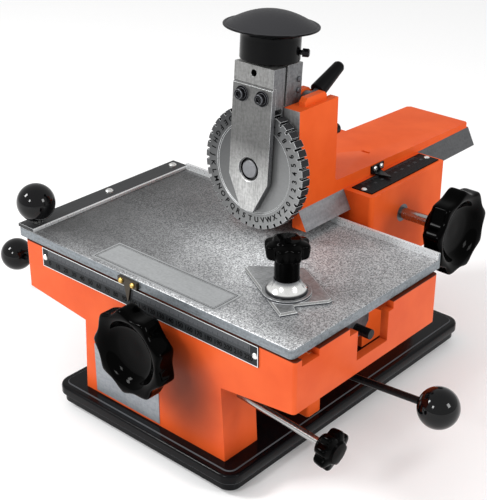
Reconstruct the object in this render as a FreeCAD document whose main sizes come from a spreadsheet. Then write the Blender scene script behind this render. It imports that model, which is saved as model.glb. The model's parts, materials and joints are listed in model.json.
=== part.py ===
import FreeCAD, Part
import Sketcher
import math
import os

# Nameplate marking machine, hand cranked. Millimetres: +X right along the front, +Y to the back, +Z up.
# The stand is laid out about its own middle: x = 0 the body's middle, y = 0 its front face, z = 0 the floor.
# At the end every piece is moved so that the origin lies on the floor under the middle of the overall box.

document = FreeCAD.newDocument("marking_machine")

sizes = {
    # base plate and feet
    "base_x": -4, "base_wid": 204, "base_len": 323, "base_front": -13.5, "base_corner": 13,
    "foot_high": 5, "foot_rad": 9, "foot_inset": 24, "plinth_high": 8, "plinth_inset": 3,
    "band_high": 8.2, "panel_inset": 6, "panel_high": 0.8, "base_round": 2.5,
    # body casting
    "body_half": 147, "body_deep": 178.5, "body_top": 140, "body_wall": 7, "end_low": 96.5,
    "mid_low": 88.5, "body_round": 3, "ped_half": 76, "ped_foot_half": 79.5, "ped_deep": 38,
    "ped_web_top": 120, "rib_near": 22, "rib_far": 38, "rib_low": 89, "rib_top": 106, "neck_in": 5,
    "neck_top": 134, "leg_in": 7, "leg_front": 206, "leg_rear": 288, "box_half": 65, "box_front": 200,
    "box_rear": 311, "box_low": 98, "box_top": 173.2, "box_round": 4, "notch_front": 7.4,
    "notch_rear": 27, "notch_low": 134, "gate_front": 73, "gate_rear": 112, "gate_low": 108,
    "gate_step_front": 63, "gate_step_rear": 118, "gate_step_low": 133.5,
    # dovetail way and ram
    "ram_half": 34.7, "dove_flare": 8.5, "dove_high": 16.5, "way_gap": 0.08, "ram_front": 139.5,
    "ram_rear": 398, "ram_rise_front": 11.3, "ram_rise_rear": 4.8, "ram_edge": 3, "tower_front": 138.5,
    "tower_rear": 188, "tower_top": 259, "tower_fillet": 4, "slot_half": 18.4, "slot_rear": 165,
    "mouth_half": 28.5, "well_half": 7.6, "well_rear": 182, "well_low": 179, "channel_half": 9,
    "channel_low": 128.5, "ear_thick": 6, "ear_front": 150, "ear_mid_front": 161.4, "ear_rear": 178,
    "ear_top": 265.8, "ear_round": 3, "ear_out": 30.4,
    "ear_mid": 8.2, "ear_skin": 2, "oil_x": 12, "oil_y": 262,
    "oil_long": 9, "oil_wide": 3.4,
    # table and what it carries
    "table_x": -6, "table_wid": 300, "table_deep": 185, "table_thick": 7.8, "table_top": 149,
    "slide_gap": 0.05, "rim_thick": 2.8, "rim_high": 5.6, "table_round": 4, "bar_wid": 20, "bar_high": 3,
    "bar_screw_1": 95, "bar_screw_2": 175, "bar_screw_rad": 2, "bar_screw_head": 3.6,
    "bar_screw_high": 2.2, "label_wid": 134, "label_deep": 31, "label_x": 5, "label_y": 4,
    "label_thick": 0.5, "strip_half": 128, "strip_wid": 4, "strip_edge": 1.5, "rod_y": 91.5,
    "rod_z": 122, "rod_rad": 4, "rod_half": 152, "hanger_x": 134, "hanger_thick": 8, "hanger_wid": 32,
    "hanger_low": 113, "hanger_foot": 16, "block_half": 5.5,
    "block_wid": 24, "block_top": 131, "block_shoulder": 7,
    "pointer_x": -19.5, "pointer_wid": 21, "pointer_low": 128.5, "pointer_hole": 6.5, "pointer_thick": 3,
    # racks and gears
    "gear_mod": 1.5, "flank_gap": 0.1, "front_teeth": 40, "side_teeth": 17,
    "front_rack_teeth": 38, "side_rack_teeth": 22, "rack_wide": 18, "rack_front": 8.2,
    "side_rack_wide": 13, "side_rack_let": 5, "front_gear_y": 10.2, "front_gear_wide": 14,
    "side_gear_wide": 11,
    # handwheels and shafts
    "shaft_rad": 4, "side_shaft_rad": 5, "fit_gap": 0.04, "knob_gap": 0.1, "bush_rad": 7, "bush_long": 7,
    "side_bush_rad": 8, "front_x": 10, "front_z": 105.5, "side_y": 247, "side_z": 144, "wheel_rad": 38,
    "wheel_thick": 18, "wheel_lobes": 9, "wheel_bite": 13, "wheel_bite_deep": 4.2, "wheel_dish": 10,
    "wheel_rim": 10, "wheel_hub": 9.5, "wheel_collar": 15.5, "front_collar_long": 13.5,
    "side_collar_long": 12, "front_stand_off": 3, "side_stand_off": 32,
    # rulers, rivets, labels
    "ruler_long": 238, "ruler_wid": 17.2, "ruler_thick": 1, "ruler_x": -5.5, "ruler_z": 131.4,
    "ruler_rivet": 116, "back_ruler_long": 101.5, "back_ruler_wid": 21, "back_ruler_x": 49.5,
    "back_rivet": 47.5, "rivet_head": 2.6, "rivet_rad": 1.5, "tag_left": -66.5, "tag_right": 8.5,
    "tag_low": 24, "tag_high": 46,
    # head
    "lean": 4.05, "dial_y": 122.35, "dial_z": 207.2, "dial_rad": 51.5, "dial_thick": 9.6,
    "dial_slots": 40, "slot_wide": 2, "slot_deep": 3, "dial_web": 4.2, "dial_rim_in": 39,
    "dial_step": 0.8, "axle_face": 7.5, "axle_rad": 4.5, "axle_sunk": 0.8,
    "plate_half": 20.5, "plate_top": 70.8, "plate_thick": 4.5, "plate_out": 5.5, "plate_shoulder": 8.5,
    "plate_tip_half": 6.7, "plate_tip": 35.5, "plate_bore": 9.3, "plate_ring": 1.2, "plate_bevel": 1.6,
    "plate_screw_x": 10.5, "plate_screw_z": 61.5, "head_screw_low": 64, "head_screw_high": 73,
    "block_high": 86.2, "nose_rear": 9, "neck_rear": 15, "throat_half": 14, "column_half": 17.8,
    "column_rear": 33.8, "spine_front": 10.2, "column_low": -26, "pin_y": 172, "pin_z": 192, "pin_rad": 4,
    "tail_rad": 8, "tail_half": 7.4, "spindle_y": 13.6, "spindle_rad": 2.6, "bevel_rad": 5.6,
    "bevel_near": 3.4, "bevel_teeth": 14, "bevel_tip": 0.7, "bevel_root": 1.0, "bevel_hub": 4.2,
    "bevel_back": 3, "bevel_bore": 2, "gear_room": 9.5,
    # hat knob
    "hat_rad": 38.5, "hat_neck": 24.3, "hat_low": 88.9, "hat_rim_z": 115, "hat_rim": 2.6, "hat_dome": 11,
    "hat_under": 31.5, "hat_screw_rad": 3.4, "hat_screw_long": 5, "hat_screw_z": 96,
    "hat_screw_turn": 28.65,
    # press lever
    "cam_y": 170, "cam_z": 257.5, "cam_shaft": 4, "cam_throw": 7.1, "cam_rad": 10.4, "cam_half": 6,
    "lever_x": 19.3, "lever_thick": 9, "lever_hub": 7, "lever_angle": 27, "grip_start": 10.8,
    "grip_end": 44.5, "grip_rad": 6.9, "grip_tip": 5, "lever_core": 3.2,
    "lever_room": 1.5, "grip_side_room": 0.4, "grip_low_room": 6,
    # screws: the small one used in three places, and the cap screw of the front plate with its washer
    "screw_thread": 1.25, "screw_long": 2.6, "screw_head": 2.3, "screw_head_low": 0.9, "screw_high": 1.6,
    "screw_top": 1.5, "screw_bore": 1.3, "cap_thread": 2.5, "cap_long": 9, "cap_head": 4.4, "cap_high": 5.5,
    "cap_edge": 0.5, "washer_rad": 6.4, "washer_thick": 1.1, "cap_key": 2.3, "cap_key_flat": 1.992,
    "cap_key_deep": 3.2,
    # pointer bracket on the ram
    "tab_half": 9, "tab_low": 2, "tab_high": 8.6, "tab_thick": 1.5, "tab_screw_y": 4.5, "tab_screw_z": 5.8,
    "finger_long": 19, "finger_thick": 1.2, "finger_root": 3, "finger_mid": 5, "finger_tip": 0.4,
    # clamp
    "clamp_x": 90.5, "clamp_y": 58, "clamp_thick": 3, "clamp_bevel": 1.4, "clamp_ring": 19,
    "clamp_ring_high": 2, "clamp_left_x": -54.9, "clamp_left_y": 11.2, "clamp_nose_x": 17.6,
    "clamp_nose_y": -29.3, "clamp_step_x": 24.3, "clamp_step_y": -16.6, "clamp_hook_x": 16.3,
    "clamp_hook_y": -10.7, "clamp_right_x": 34.7, "clamp_right_y": 14.2, "clamp_back_x": -14.6,
    "clamp_back_y": 41.1, "clamp_round": 5, "stud_rad": 4, "ferrule_base": 16.2, "ferrule_top": 10,
    "ferrule_high": 10.5, "ferrule_edge": 1.2, "star_lobes": 8, "clamp_star_rad": 17.6,
    "clamp_star_high": 14, "clamp_star_neck": 9.6, "clamp_neck_high": 18.5, "clamp_bite": 4.6,
    "clamp_bite_out": 2.2, "spacing_star_rad": 16, "spacing_star_high": 13, "spacing_star_neck": 8.5,
    "spacing_neck_high": 4, "spacing_bite": 5, "spacing_bite_out": 1.6,
    # ball knobs and rods
    "ball_rad": 16.3, "ball_flat": 67, "carriage_x": -145, "carriage_y": 12.5, "carriage_z": 170,
    "carriage_stud": 4, "release_y": 96.5, "release_z": 63.3, "release_drop": 10, "release_tilt": 4.8,
    "release_right": 208, "release_left": 294.5, "release_rad": 3, "hub_half": 10, "hub_wide": 15,
    "hub_up": 6.5, "hub_down": 8, "post_x": 81, "post_thick": 20, "post_wide": 17, "post_top": 84,
    "post_side": 0.3, "post_corner": 2.5, "stand_half": 14,
    "stand_cheek": 6, "stand_top": 66, "spacing_y": 20,
    "spacing_x": 166.9, "spacing_z": 65.5, "spacing_fall": 5.1, "spacing_rad": 3, "spacing_in": 104,
    "lock_x": 28, "lock_z": 228, "lock_rad": 4.5, "lock_long": 9,
}

sheet = document.addObject("Spreadsheet::Sheet", "dims")
for row, (alias, number) in enumerate(sizes.items(), start=1):
    sheet.set("A%d" % row, alias)
    sheet.set("B%d" % row, str(number))
    sheet.setAlias("B%d" % row, alias)
document.recompute()


class Size:
    """A number from the sheet together with the expression that stands for it."""

    def __init__(self, text, value):
        self.text = text
        self.value = value

    def __float__(self):
        return float(self.value)

    def __add__(self, other):
        other = size(other)
        return Size("(%s + %s)" % (self.text, other.text), self.value + other.value)

    def __radd__(self, other):
        return size(other) + self

    def __sub__(self, other):
        other = size(other)
        return Size("(%s - %s)" % (self.text, other.text), self.value - other.value)

    def __rsub__(self, other):
        return size(other) - self

    def __mul__(self, other):
        other = size(other)
        return Size("(%s * %s)" % (self.text, other.text), self.value * other.value)

    def __rmul__(self, other):
        return size(other) * self

    def __truediv__(self, other):
        other = size(other)
        return Size("(%s / %s)" % (self.text, other.text), self.value / other.value)

    def __neg__(self):
        return Size("(0 - %s)" % self.text, -self.value)


class Sheet:
    """Reads a named size from the sheet as an attribute."""

    def __getattr__(self, alias):
        return Size("dims." + alias, float(sheet.get(alias)))


def size(value):
    """Take a plain number or a Size and give a Size."""
    if isinstance(value, Size):
        return value
    return Size(repr(float(value)), float(value))


d = Sheet()
pieces = []
checks = []


# sketching helpers: every point of a sketch is tied to the sheet

def new_body(label):
    body = document.addObject("PartDesign::Body", label)
    body.Label = label
    return body


def sketch(body, name, role, at=0):
    """Put a sketch on one of the body's own planes, moved along its axis to the stated coordinate."""
    at = size(at)
    result = body.newObject("Sketcher::SketchObject", name)
    plane = [item for item in body.Origin.OriginFeatures if item.Role == role + "_Plane"][0]
    result.AttachmentSupport = [(plane, "")]
    result.MapMode = "FlatFace"
    text = at.text
    if role == "XZ":
        text = "0 - " + text
    result.setExpression("AttachmentOffset.Base.z", text)
    return result


def pin(drawing, geometry, position, x, y):
    """Fix one point of a sketch at two sizes measured from the sketch's origin."""
    for kind, axis, value in (("DistanceX", -2, size(x)), ("DistanceY", -1, size(y))):
        if value.text == "0.0":
            drawing.addConstraint(Sketcher.Constraint("PointOnObject", geometry, position, axis))
            continue
        index = drawing.addConstraint(
            Sketcher.Constraint(kind, -1, 1, geometry, position, float(value) or 0.001))
        drawing.setExpression("Constraints[%d]" % index, value.text)


def outline(drawing, points):
    """Draw a closed outline. A point with four entries starts an arc that passes through the last two."""
    count = len(points)
    first = drawing.GeometryCount
    ends = []
    for number, point in enumerate(points):
        nearby = points[(number + 1) % count]
        start = FreeCAD.Vector(float(point[0]), float(point[1]), 0)
        stop = FreeCAD.Vector(float(nearby[0]), float(nearby[1]), 0)
        if len(point) == 2:
            drawing.addGeometry(Part.LineSegment(start, stop), False)
            ends.append((1, 2))
            continue
        middle = FreeCAD.Vector(float(point[2]), float(point[3]), 0)
        left = (middle - start).cross(stop - start).z < 0
        if left:
            drawing.addGeometry(Part.Arc(stop, middle, start), False)
            ends.append((2, 1))
        else:
            drawing.addGeometry(Part.Arc(start, middle, stop), False)
            ends.append((1, 2))
    for number in range(count):
        following = (number + 1) % count
        drawing.addConstraint(Sketcher.Constraint(
            "Coincident", first + number, ends[number][1], first + following, ends[following][0]))
    for number, point in enumerate(points):
        pin(drawing, first + number, ends[number][0], point[0], point[1])
        if len(point) == 4:
            middle = FreeCAD.Vector(float(point[2]), float(point[3]), 0)
            mark = drawing.addGeometry(Part.Point(middle), True)
            pin(drawing, mark, 1, point[2], point[3])
            drawing.addConstraint(Sketcher.Constraint("PointOnObject", mark, 1, first + number))


def rectangle(drawing, x0, y0, x1, y1):
    outline(drawing, [(x0, y0), (x1, y0), (x1, y1), (x0, y1)])


def circle(drawing, x, y, radius):
    centre = FreeCAD.Vector(float(size(x)), float(size(y)), 0)
    index = drawing.addGeometry(Part.Circle(centre, FreeCAD.Vector(0, 0, 1), float(size(radius))), False)
    pin(drawing, index, 3, x, y)
    mark = drawing.addConstraint(Sketcher.Constraint("Radius", index, float(size(radius))))
    drawing.setExpression("Constraints[%d]" % mark, size(radius).text)


def role_of(drawing):
    return drawing.AttachmentSupport[0][0].Role[:2]


def pad(body, name, drawing, length, forward=True):
    """Add material along the sketch's axis, towards + when forward."""
    before = body.Tip
    feature = body.newObject("PartDesign::Pad", name)
    feature.Profile = drawing
    feature.setExpression("Length", size(length).text)
    feature.Reversed = forward == (role_of(drawing) == "XZ")
    checks.append((feature, before, 1))
    return feature


def pocket(body, name, drawing, length, forward=True):
    """Remove material along the sketch's axis, towards + when forward."""
    before = body.Tip
    feature = body.newObject("PartDesign::Pocket", name)
    feature.Profile = drawing
    feature.setExpression("Length", size(length).text)
    feature.Reversed = forward != (role_of(drawing) == "XZ")
    checks.append((feature, before, -1))
    return feature


def revolve(body, name, drawing, cut=False):
    """Turn the sketch about its own vertical axis, as material or as a groove."""
    before = body.Tip
    feature = body.newObject("PartDesign::Groove" if cut else "PartDesign::Revolution", name)
    feature.Profile = drawing
    feature.ReferenceAxis = (drawing, ["V_Axis"])
    feature.Angle = 360
    checks.append((feature, before, -1 if cut else 1))
    return feature


def polar(body, name, originals, drawing, count):
    feature = body.newObject("PartDesign::PolarPattern", name)
    feature.Originals = originals
    feature.Axis = (drawing, ["N_Axis"])
    feature.Angle = 360
    feature.setExpression("Occurrences", size(count).text)
    body.Tip = feature
    return feature


def row_of(body, name, originals, drawing, axis, length, count):
    feature = body.newObject("PartDesign::LinearPattern", name)
    feature.Originals = originals
    feature.Direction = (drawing, [axis])
    feature.setExpression("Length", size(length).text)
    feature.setExpression("Occurrences", size(count).text)
    body.Tip = feature
    return feature


def edges_of(feature, test):
    document.recompute()
    found = []
    for number, edge in enumerate(feature.Shape.Edges, start=1):
        box = edge.BoundBox
        if test(edge, box):
            found.append("Edge%d" % number)
    return found


def dress(body, name, kind, feature, test, amount):
    """Round or bevel the edges that pass the test."""
    names = edges_of(feature, test)
    result = body.newObject("PartDesign::" + kind, name)
    result.Base = (feature, names)
    result.setExpression("Radius" if kind == "Fillet" else "Size", size(amount).text)
    body.Tip = result
    return result


def upright(box):
    return box.XLength < 0.01 and box.YLength < 0.01 and box.ZLength > 1


def place(item, x=0, y=0, z=0, axis=(0, 0, 1), angle=0):
    item.Placement = FreeCAD.Placement(
        FreeCAD.Vector(float(size(x)), float(size(y)), float(size(z))),
        FreeCAD.Rotation(FreeCAD.Vector(*axis), float(size(angle))))
    if item not in pieces:
        pieces.append(item)
    return item


def copies(label, source, spots, *others):
    """Several like pieces in one node: a placement each. A second size of the piece follows as a pair."""
    document.recompute()
    solids = []
    for origin, places in ((source, spots),) + others:
        shape = origin.Shape.copy()
        shape.Placement = FreeCAD.Placement()
        for where in places:
            solid = shape.copy()
            solid.Placement = where
            solids.append(solid)
    item = document.addObject("Part::Feature", label)
    item.Label = label
    item.Shape = Part.makeCompound(solids)
    pieces.append(item)
    return item


def spot(x=0, y=0, z=0, axis=(0, 0, 1), angle=0):
    return FreeCAD.Placement(
        FreeCAD.Vector(float(size(x)), float(size(y)), float(size(z))),
        FreeCAD.Rotation(FreeCAD.Vector(*axis), float(size(angle))))


# heights that several pieces share
base_top = d.foot_high + d.plinth_high + d.band_high + d.panel_high
base_mid = d.base_front + d.base_len / 2
table_low = d.table_top - d.table_thick
way_low = d.box_top - d.dove_high
tooth_pitch = Size("(pi * dims.gear_mod)", math.pi * float(d.gear_mod))
front_pitch_rad = d.gear_mod * d.front_teeth / 2
side_pitch_rad = d.gear_mod * d.side_teeth / 2
front_pitch_z = d.front_z + front_pitch_rad
side_pitch_z = d.side_z + side_pitch_rad


# base plate: plinth, wider band and a low raised panel on top
base = new_body("base_plate")
plinth_sketch = sketch(base, "plinth_outline", "XY")
rectangle(plinth_sketch, d.plinth_inset - d.base_wid / 2, d.plinth_inset - d.base_len / 2,
          d.base_wid / 2 - d.plinth_inset, d.base_len / 2 - d.plinth_inset)
plinth = pad(base, "plinth", plinth_sketch, d.plinth_high)
dress(base, "plinth_corners", "Fillet", plinth, lambda e, b: upright(b), d.base_corner - d.plinth_inset)
band_sketch = sketch(base, "band_outline", "XY", d.plinth_high)
rectangle(band_sketch, -d.base_wid / 2, -d.base_len / 2, d.base_wid / 2, d.base_len / 2)
band = pad(base, "band", band_sketch, d.band_high)
band_round = dress(base, "band_corners", "Fillet", band,
                   lambda e, b: upright(b) and b.ZMin > float(d.plinth_high) - 0.1, d.base_corner)
dress(base, "band_top_edge", "Fillet", band_round,
      lambda e, b: b.ZMin > float(d.plinth_high + d.band_high) - 0.01, d.base_round)
panel_sketch = sketch(base, "panel_outline", "XY", d.plinth_high + d.band_high)
rectangle(panel_sketch, d.panel_inset - d.base_wid / 2, d.panel_inset - d.base_len / 2,
          d.base_wid / 2 - d.panel_inset, d.base_len / 2 - d.panel_inset)
panel = pad(base, "panel", panel_sketch, d.panel_high)
dress(base, "panel_corners", "Fillet", panel,
      lambda e, b: b.XLength < 0.01 and b.YLength < 0.01 and b.ZLength > float(d.panel_high) - 0.01
      and b.ZMin > float(d.plinth_high + d.band_high) - 0.01, d.base_corner - d.panel_inset)
place(base, d.base_x, base_mid, d.foot_high)

# feet: four rubber buttons, slightly tapered
foot = new_body("foot")
foot_sketch = sketch(foot, "foot_profile", "XZ")
outline(foot_sketch, [(0, 0), (d.foot_rad - 1, 0), (d.foot_rad, d.foot_high), (0, d.foot_high)])
revolve(foot, "foot_turned", foot_sketch)
foot_x = d.base_wid / 2 - d.foot_inset
foot_y = d.base_len / 2 - d.foot_inset
copies("base_feet", foot, [
    spot(d.base_x + sx * foot_x, base_mid + sy * foot_y, 0) for sx in (-1, 1) for sy in (-1, 1)])

# body casting: apron ring, pedestal, bridge ribs, neck, rear leg and the box with the dovetail way
body = new_body("body_casting")
apron_sketch = sketch(body, "apron_outline", "XY", d.mid_low)
bend = d.body_round * (1 - math.sqrt(0.5))
outline(apron_sketch, [
    (d.body_round - d.body_half, 0), (d.body_half - d.body_round, 0, d.body_half - bend, bend),
    (d.body_half, d.body_round),
    (d.body_half, d.body_deep - d.body_round, d.body_half - bend, d.body_deep - bend),
    (d.body_half - d.body_round, d.body_deep),
    (d.body_round - d.body_half, d.body_deep, bend - d.body_half, d.body_deep - bend),
    (-d.body_half, d.body_deep - d.body_round), (-d.body_half, d.body_round, bend - d.body_half, bend)])
pad(body, "apron", apron_sketch, d.body_top - d.mid_low)
for side, sign in (("right", 1), ("left", -1)):
    wedge = sketch(body, "underside_" + side, "XZ", -1)
    outline(wedge, [(sign * d.ped_half, d.mid_low - 1), (sign * d.ped_half, d.mid_low + 0.01),
                    (sign * (d.body_half + 1), d.end_low), (sign * (d.body_half + 1), d.mid_low - 1)])
    pocket(body, "underside_slope_" + side, wedge, d.body_deep + 2, True)
room_sketch = sketch(body, "apron_room", "XY", d.body_top)
rectangle(room_sketch, d.body_wall - d.body_half, d.body_wall,
          d.body_half - d.body_wall, d.body_deep - d.body_wall)
pocket(body, "apron_hollow", room_sketch, d.body_top - d.mid_low + 1, False)
ped_sketch = sketch(body, "pedestal_outline", "XZ", 0)
ped_slant = (d.ped_foot_half - d.ped_half) * (d.ped_web_top - base_top) / (d.mid_low - base_top)
ped_head_half = d.ped_foot_half - ped_slant
outline(ped_sketch, [(-d.ped_foot_half, base_top), (d.ped_foot_half, base_top),
                     (ped_head_half, d.ped_web_top), (-ped_head_half, d.ped_web_top)])
pad(body, "pedestal", ped_sketch, d.ped_deep)
well_sketch = sketch(body, "pedestal_room", "XY", base_top)
rectangle(well_sketch, d.body_wall - d.ped_half, d.body_wall,
          d.ped_half - d.body_wall, d.ped_deep - d.body_wall)
pocket(body, "pedestal_hollow", well_sketch, d.ped_web_top - base_top, True)
for side, sign in (("right", 1), ("left", -1)):
    rib_sketch = sketch(body, "rib_" + side, "XY", d.rib_low)
    rectangle(rib_sketch, sign * d.rib_near, d.ped_deep - d.body_wall, sign * d.rib_far,
              d.body_deep - d.body_wall / 2)
    pad(body, "bridge_rib_" + side, rib_sketch, d.rib_top - d.rib_low)
neck_half = d.box_half - d.neck_in
neck_sketch = sketch(body, "neck_outline", "XZ", d.body_deep - d.body_wall / 2)
rectangle(neck_sketch, -neck_half, d.box_low, neck_half, d.neck_top)
pad(body, "neck", neck_sketch, d.box_front - d.body_deep + d.body_wall)
leg_sketch = sketch(body, "rear_leg_outline", "XY", base_top)
leg_half = d.box_half - d.leg_in
rectangle(leg_sketch, -leg_half, d.leg_front, leg_half, d.leg_rear)
pad(body, "rear_leg", leg_sketch, d.box_low - base_top + 1)
box_sketch = sketch(body, "rear_box_outline", "XY", d.box_low)
rectangle(box_sketch, -d.box_half, d.box_front, d.box_half, d.box_rear)
rear_box = pad(body, "rear_box", box_sketch, d.box_top - d.box_low)
dress(body, "rear_box_corners", "Fillet", rear_box,
      lambda e, b: upright(b) and abs(abs(b.XMin) - float(d.box_half)) < 0.01, d.box_round)
way_sketch = sketch(body, "way_outline", "XZ", d.box_front - 1)
way_half = d.ram_half + d.way_gap
outline(way_sketch, [(-way_half, d.box_top), (-way_half - d.dove_flare, way_low - d.way_gap),
                     (way_half + d.dove_flare, way_low - d.way_gap), (way_half, d.box_top)])
pocket(body, "dovetail_way", way_sketch, d.box_rear - d.box_front + 2, True)
channel_sketch = sketch(body, "channel_outline", "XZ", d.box_front - 1)
rectangle(channel_sketch, -d.channel_half, d.channel_low, d.channel_half, way_low)
pocket(body, "rack_channel", channel_sketch, d.box_rear - d.box_front + 2, True)
small_notch = sketch(body, "small_notch", "YZ", -d.body_half - 1)
rectangle(small_notch, d.notch_front, d.notch_low, d.notch_rear, d.body_top)
pocket(body, "rack_notches", small_notch, 2 * d.body_half + 2, True)
gate = sketch(body, "large_notch", "YZ", -d.body_half - 1)
rectangle(gate, d.gate_front, d.gate_low, d.gate_rear, d.body_top)
pocket(body, "hanger_gates", gate, 2 * d.body_half + 2, True)
gate_step = sketch(body, "gate_step", "YZ", -d.body_half - 1)
rectangle(gate_step, d.gate_step_front, d.gate_step_low, d.gate_step_rear, d.body_top)
pocket(body, "hanger_gate_steps", gate_step, 2 * d.body_half + 2, True)
front_bore = sketch(body, "front_bore", "XZ", -1)
circle(front_bore, d.front_x, d.front_z, d.bush_rad)
pocket(body, "front_shaft_bore", front_bore, d.ped_deep + 2, True)
side_bore = sketch(body, "side_bore", "YZ", -d.channel_half - d.bush_long)
circle(side_bore, d.side_y, d.side_z, d.side_bush_rad)
pocket(body, "side_shaft_bore", side_bore, d.channel_half + d.bush_long + d.box_half + 1, True)
fall = math.radians(float(d.spacing_fall))
rod_out = (d.spacing_x - d.ped_half - 1) * Size("tan(dims.spacing_fall)", math.tan(fall))
spacing_bore = sketch(body, "spacing_bore", "YZ", d.ped_half + 1)
circle(spacing_bore, d.spacing_y, d.spacing_z + rod_out, d.spacing_rad + 2 * d.fit_gap)
spacing_cut = pocket(body, "spacing_rod_bore", spacing_bore, d.body_wall + 3, False)
spacing_cut.UseCustomVector = True
spacing_cut.Direction = FreeCAD.Vector(-math.cos(fall), 0, math.sin(fall))
place(body)

# bushes in the casting: two for each handwheel shaft
def bushing(name, outer, inner):
    result = new_body(name)
    section = sketch(result, name + "_section", "XY")
    circle(section, 0, 0, outer)
    circle(section, 0, 0, inner + d.fit_gap)
    pad(result, name + "_wall", section, d.bush_long)
    return result


front_bush = bushing("front_bush", d.bush_rad, d.shaft_rad)
side_bush = bushing("side_bush", d.side_bush_rad, d.side_shaft_rad)
front_spots = [spot(d.front_x, at, d.front_z, (1, 0, 0), 90) for at in (d.bush_long, d.ped_deep)]
side_spots = [spot(at, d.side_y, d.side_z, (0, 1, 0), 90)
              for at in (d.box_half - d.bush_long, -d.channel_half - d.bush_long)]
copies("shaft_bushes", front_bush, front_spots, (side_bush, side_spots))

# guide blocks on the ribs: the table's round rod runs in them
block = new_body("guide_block")
block_sketch = sketch(block, "block_outline", "YZ", -d.block_half)
rectangle(block_sketch, -d.block_wid / 2, d.rib_top, d.block_wid / 2, d.block_top)
block_pad = pad(block, "block_solid", block_sketch, 2 * d.block_half)
dress(block, "block_shoulders", "Fillet", block_pad,
      lambda e, b: b.ZMin > float(d.block_top) - 0.01 and b.YLength < 0.01, d.block_shoulder)
block_bore = sketch(block, "block_bore", "YZ", -d.block_half)
circle(block_bore, 0, d.rod_z, d.rod_rad + d.fit_gap)
pocket(block, "block_hole", block_bore, 2 * d.block_half, True)
rib_mid = (d.rib_near + d.rib_far) / 2
copies("guide_blocks", block, [spot(rib_mid, d.rod_y, 0), spot(-rib_mid, d.rod_y, 0)])

# slide strips: two wear strips on the long walls carry the table
strip = new_body("strip")
strip_sketch = sketch(strip, "strip_outline", "XY", d.body_top)
rectangle(strip_sketch, -d.strip_half, 0, d.strip_half, d.strip_wid)
pad(strip, "strip_bar", strip_sketch, table_low - d.slide_gap - d.body_top)
copies("slide_strips", strip, [
    spot(0, d.strip_edge, 0), spot(0, d.body_deep - d.strip_edge - d.strip_wid, 0)])

# rulers with their rivets
front_ruler = new_body("front_ruler")
ruler_sketch = sketch(front_ruler, "ruler_outline", "XZ", -d.ruler_thick)
rectangle(ruler_sketch, -d.ruler_long / 2, -d.ruler_wid / 2, d.ruler_long / 2, d.ruler_wid / 2)
circle(ruler_sketch, -d.ruler_rivet, 0, d.rivet_rad)
circle(ruler_sketch, d.ruler_rivet, 0, d.rivet_rad)
pad(front_ruler, "ruler_strip", ruler_sketch, d.ruler_thick)
place(front_ruler, d.ruler_x, 0, d.ruler_z)
back_ruler = new_body("back_ruler")
back_sketch = sketch(back_ruler, "back_ruler_outline", "XY")
rectangle(back_sketch, -d.back_ruler_wid / 2, -d.back_ruler_long / 2,
          d.back_ruler_wid / 2, d.back_ruler_long / 2)
circle(back_sketch, 0, -d.back_rivet, d.rivet_rad)
circle(back_sketch, 0, d.back_rivet, d.rivet_rad)
pad(back_ruler, "back_ruler_strip", back_sketch, d.ruler_thick)
back_ruler_y = (d.box_front + d.box_rear) / 2 + 1.5
place(back_ruler, d.back_ruler_x, back_ruler_y, d.box_top)
rivet = new_body("rivet")
rivet_sketch = sketch(rivet, "rivet_profile", "XZ")
outline(rivet_sketch, [(0, 0), (d.rivet_rad - d.fit_gap, 0), (d.rivet_rad - d.fit_gap, d.ruler_thick),
                       (d.rivet_head, d.ruler_thick), (d.rivet_head * 0.8, d.ruler_thick + 0.6),
                       (d.rivet_head * 0.4, d.ruler_thick + 0.9), (0, d.ruler_thick + 0.9)])
revolve(rivet, "rivet_turned", rivet_sketch)
copies("ruler_rivets", rivet, [
    spot(d.ruler_x - d.ruler_rivet, 0, d.ruler_z, (1, 0, 0), 90),
    spot(d.ruler_x + d.ruler_rivet, 0, d.ruler_z, (1, 0, 0), 90),
    spot(d.back_ruler_x, back_ruler_y - d.back_rivet, d.box_top),
    spot(d.back_ruler_x, back_ruler_y + d.back_rivet, d.box_top)])

# blank plate on the pedestal
tag = new_body("pedestal_tag")
tag_sketch = sketch(tag, "tag_outline", "XZ", -d.label_thick)
rectangle(tag_sketch, d.tag_left, d.tag_low, d.tag_right, d.tag_low + d.tag_high)
pad(tag, "tag_sheet", tag_sketch, d.label_thick)
place(tag)

# release rod: stand and pin in the middle, a slotted post at each side
turn_z = d.release_z - d.release_drop
stand = new_body("release_stand")
stand_sketch = sketch(stand, "stand_outline", "XZ", -d.hub_wide / 2 - d.post_side - d.stand_cheek)
outline(stand_sketch, [(-d.stand_half, base_top), (d.stand_half, base_top), (d.stand_half, turn_z),
                       (9, d.stand_top), (-9, d.stand_top), (-d.stand_half, turn_z)])
pad(stand, "stand_solid", stand_sketch, d.hub_wide + 2 * d.post_side + 2 * d.stand_cheek)
stand_gap = sketch(stand, "stand_gap", "YZ", -d.stand_half - 1)
rectangle(stand_gap, -d.hub_wide / 2 - d.post_side, turn_z - d.hub_down - 3, d.hub_wide / 2 + d.post_side,
          d.stand_top + 1)
pocket(stand, "stand_fork", stand_gap, 2 * d.stand_half + 2, True)
stand_bore = sketch(stand, "stand_bore", "XZ", -d.hub_wide)
circle(stand_bore, 0, turn_z, d.pin_rad)
pocket(stand, "stand_hole", stand_bore, 2 * d.hub_wide, True)
place(stand, 0, d.release_y, 0)
release_pin = document.addObject("Part::Cylinder", "release_pin")
release_pin.Label = "release_pin"
release_pin.setExpression("Radius", d.pin_rad.text)
release_pin.setExpression("Height", (d.hub_wide + 2 * d.post_side + 2 * d.stand_cheek + 2).text)
place(release_pin, 0, d.release_y + d.hub_wide / 2 + d.post_side + d.stand_cheek + 1, turn_z, (1, 0, 0), 90)
post = new_body("post")
post_sketch = sketch(post, "post_outline", "XY", base_top)
rectangle(post_sketch, -d.post_thick / 2, -d.post_wide / 2, d.post_thick / 2, d.post_wide / 2)
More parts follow.
